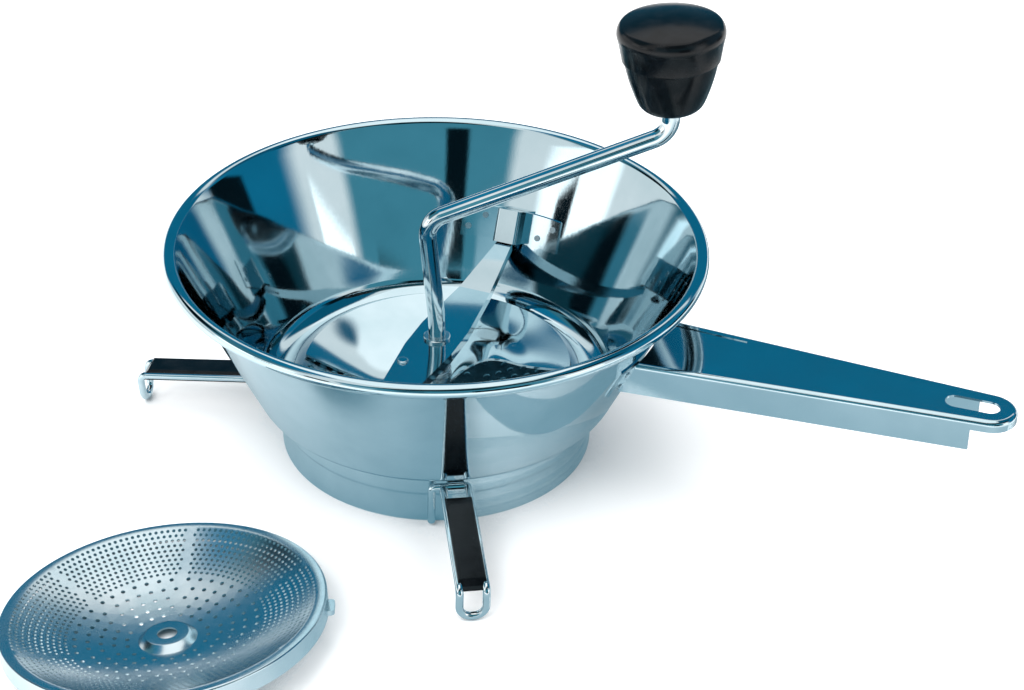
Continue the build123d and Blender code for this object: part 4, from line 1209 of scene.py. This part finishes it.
@dataclass
class Studio:
    """White table and background, soft lamps, and the cards that polished steel reflects."""

    floor_size: float = 9.0
    white: float = 1.0
    floor_glow: float = 0.5
    floor_paper: Colour = (0.91, 0.91, 0.91)
    floor_shade: Colour = (0.16, 0.24, 0.28)
    shade_reach: float = 0.14
    photo_turn: float = 22.966

    def cards(self) -> list[Card]:
        """Teal, dark and white cards. Azimuths are given from the camera's right, turned to the mill."""
        white, pale, teal = (1.0, 1.0, 1.0), (0.42, 0.66, 0.76), (0.11, 0.42, 0.55)
        deep, murk, dark = (0.006, 0.17, 0.3), (0.01, 0.06, 0.08), (0.002, 0.008, 0.012)
        rows = [
            ("back_deep", 90, 23, 6.4, 1.85, deep, 1.0, 2.4, 0.16),
            ("front_teal", -85, 26, 4.2, 2.0, teal, 0.7, 2.4, 0.2),
            ("right_deep", 8, 24, 2.6, 2.0, deep, 1.1, 2.3),
            ("left_teal", 172, 40, 3.0, 1.6, teal, 0.5, 2.3),
            ("high_front", -60, 52, 3.4, 1.0, murk, 1.0, 2.2),
            ("high_right", 10, 54, 2.4, 1.2, deep, 0.7, 2.2, 0.2),
            ("high_left", 165, 60, 2.2, 0.9, deep, 1.2, 2.2),
            ("window_left", -163, 13, 1.5, 0.75, white, 1.9, 2.0, 0.25),
            ("window_right", -33, 12, 0.62, 0.52, white, 2.1, 2.0, 0.2),
            ("window_top", 90, 84, 1.7, 2.8, white, 1.35, 2.05, 0.2),
            ("flag_right", -66, 10, 0.8, 0.74, dark, 1.0, 1.9, 0.2),
            ("flag_middle", -100, 25, 0.42, 0.34, dark, 1.0, 1.9, 0.4),
            ("panel_pale", -119, 15, 0.5, 0.6, pale, 0.9, 1.9, 0.4),
            ("flag_left", -135, 13, 0.36, 0.42, dark, 1.0, 1.8, 0.3),
            ("flag_far_left", -158, 16, 0.3, 0.2, dark, 1.0, 1.8, 0.35),
            ("flag_side", 18, 6, 0.8, 0.5, dark, 1.0, 1.9, 0.3),
            ("flag_back", 150, 34, 1.1, 0.9, dark, 1.0, 2.1, 0.4),
            ("flag_low_front", -90, 42, 1.6, 0.5, dark, 1.0, 1.9, 0.4),
            ("flag_high", -20, 40, 1.0, 0.5, dark, 1.0, 1.9, 0.4),
        ]
        hung = [Card(name, turn + self.photo_turn, *rest) for name, turn, *rest in rows]
        # Painted reflection and painted shade: two sheets on the table, unseen by the camera, tint the
        # reflected table teal and darken it under the handle where its shadow falls.
        laid = [
            Card("table_painted_reflection_tint", self.photo_turn, 0, 0.86, 0.9, (0.13, 0.34, 0.44),
                 edge=0.7, density=0.78, on_table=(0.16, 0.0)),
            Card("table_painted_shade_under_handle", self.photo_turn, 0, 0.5, 0.6, (0.004, 0.09, 0.14),
                 edge=0.6, density=0.9, on_table=(0.26, 0.16)),
        ]
        return hung + laid

    def floor(self) -> None:
        """A plain pale floor that renders white and keeps the soft shadow, deepened by a painted shadow:
        ambient occlusion darkens its colour and its glow near the mill.
        """
        half = self.floor_size / 2
        mesh = bpy.data.meshes.new("floor")
        corners = [(-half, -half, 0), (half, -half, 0), (half, half, 0), (-half, half, 0)]
        mesh.from_pydata(corners, [], ONE_QUAD)
        floor = bpy.data.objects.new("floor", mesh)
        bpy.context.scene.collection.objects.link(floor)
        nodes = Nodes("floor_white")
        nodes.surface.inputs["Roughness"].default_value = 0.9
        nodes.surface.inputs["Specular IOR Level"].default_value = 0.1
        nodes.surface.inputs["Emission Color"].default_value = (1.0, 1.0, 1.0, 1.0)
        open_air = nodes.tree.nodes.new("ShaderNodeAmbientOcclusion")
        open_air.inputs["Distance"].default_value = self.shade_reach
        open_air.samples = 12
        clear = open_air.outputs["AO"]
        uneven = nodes.ramp(nodes.noise(3.0, 2.0), 0.0, 1.0, 0.98, 1.0)
        # Painted shadow: where ambient occlusion finds the mill close by, the floor's colour turns to the
        # shade tint.
        paper = nodes.math("MULTIPLY", nodes.ramp(clear, 0.08, 0.4), uneven)
        nodes.link(nodes.blend(paper, self.floor_shade, self.floor_paper), nodes.surface.inputs["Base Color"])
        # Painted shadow: the glow that the camera and reflections see fades where ambient occlusion is low.
        lit = nodes.ramp(clear, 0.1, 0.65, 0.0, self.floor_glow)
        glow = nodes.math("MULTIPLY", lit, seen_directly(nodes.tree))
        nodes.link(glow, nodes.surface.inputs["Emission Strength"])
        dress(floor, nodes.material)

    def world(self) -> None:
        """A pale world: white to the camera and in reflections, plain soft light on the object."""
        world = bpy.data.worlds.new("studio")
        bpy.context.scene.world = world
        world.use_nodes = True
        tree = world.node_tree
        tree.nodes.clear()
        output = tree.nodes.new("ShaderNodeOutputWorld")
        direct, soft = (tree.nodes.new("ShaderNodeBackground") for _ in range(2))
        mix = tree.nodes.new("ShaderNodeMixShader")
        direct.inputs["Color"].default_value = (1.0, 1.0, 1.0, 1.0)
        direct.inputs["Strength"].default_value = self.white
        soft.inputs["Color"].default_value = (0.94, 0.97, 1.0, 1.0)
        soft.inputs["Strength"].default_value = 0.45
        tree.links.new(seen_directly(tree), mix.inputs["Fac"])
        tree.links.new(soft.outputs[0], mix.inputs[1])
        tree.links.new(direct.outputs[0], mix.inputs[2])
        tree.links.new(mix.outputs[0], output.inputs["Surface"])

    def lamp(self, name: str, azimuth: float, elevation: float, distance: float,
             size: float, power: float) -> None:
        """A square soft lamp that looks at the mill.

        Args:
            name: the lamp's name.
            azimuth: degrees from the camera's right.
            elevation: degrees above the table.
            distance: metres from the mill.
            size: side of the lamp in metres.
            power: watts.
        """
        data = bpy.data.lights.new(name, "AREA")
        data.size = size
        data.energy = power
        lamp = bpy.data.objects.new(name, data)
        lamp.visible_glossy = False
        a, e = math.radians(azimuth + self.photo_turn), math.radians(elevation)
        back = Vector((math.cos(a) * math.cos(e), math.sin(a) * math.cos(e), math.sin(e)))
        lamp.location = back * distance
        lamp.rotation_mode = "QUATERNION"
        lamp.rotation_quaternion = (-back).to_track_quat("-Z", "Y")
        bpy.context.scene.collection.objects.link(lamp)

    def build(self) -> None:
        """Sets up floor, world, lamps and cards, and the plain view transform."""
        bpy.context.scene.view_settings.view_transform = "Standard"
        self.floor()
        self.world()
        self.lamp("key_lamp", -125.0, 50.0, 1.6, 0.9, 16.0)
        self.lamp("fill_lamp", -30.0, 40.0, 1.8, 1.0, 8.0)
        self.lamp("top_lamp", 90.0, 75.0, 1.6, 0.8, 8.0)
        for card in self.cards():
            card.build()


@dataclass
class PhotoCamera:
    """The camera at the photograph's place, in the mill's frame."""

    place: tuple[float, float, float] = (0.0, -802.094 * MM, 563.180 * MM)
    yaw: float = math.radians(2.466)
    pitch: float = math.radians(-32.789)
    roll: float = math.radians(1.401)
    turn: float = math.radians(22.966)
    focal_pixels: float = 2075.68
    width_pixels: float = 1024.0
    sensor: float = 36.0

    def build(self) -> None:
        """Places the camera.

        Its forward direction follows from yaw and pitch, its right from forward and up, rolled; all
        are then turned from the photograph's frame, whose Y looks away, to the mill's.
        """
        level = math.cos(self.pitch)
        forward = np.array([math.sin(self.yaw) * level, math.cos(self.yaw) * level, math.sin(self.pitch)])
        right = unit(np.cross(forward, UPRIGHT))
        up = np.cross(right, forward)
        turned_right = right * math.cos(self.roll) + up * math.sin(self.roll)
        turned_up = -right * math.sin(self.roll) + up * math.cos(self.roll)
        columns = np.stack([turned_right, turned_up, -forward], axis=1)
        axes = Matrix([[*row, 0.0] for row in columns] + [[0, 0, 0, 1]])
        axes.translation = self.place
        data = bpy.data.cameras.new("photo_camera")
        data.sensor_width = self.sensor
        data.lens = self.focal_pixels / self.width_pixels * self.sensor
        camera = bpy.data.objects.new("photo_camera", data)
        camera.matrix_world = Matrix.Rotation(self.turn, 4, "Z") @ axes
        bpy.context.scene.collection.objects.link(camera)
        bpy.context.scene.camera = camera


def main() -> None:
    """Builds the mill and the studio in order."""
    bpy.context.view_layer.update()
    finishes = Finishes()
    crank = Crank(finishes)
    parts = [
        Bowl(finishes), FittedDisc(finishes), SpareDisc(finishes), crank, Knob(finishes, crank),
        Paddle(finishes, crank), Spring(finishes), Hooks(finishes), HandleAndBridge(finishes), Studio(),
        PhotoCamera(),
    ]
    for part in parts:
        part.build()
        LOG.info("%s done", type(part).__name__)


if __name__ == "__main__":
    logging.basicConfig(level=logging.INFO, format="%(message)s")
    main()
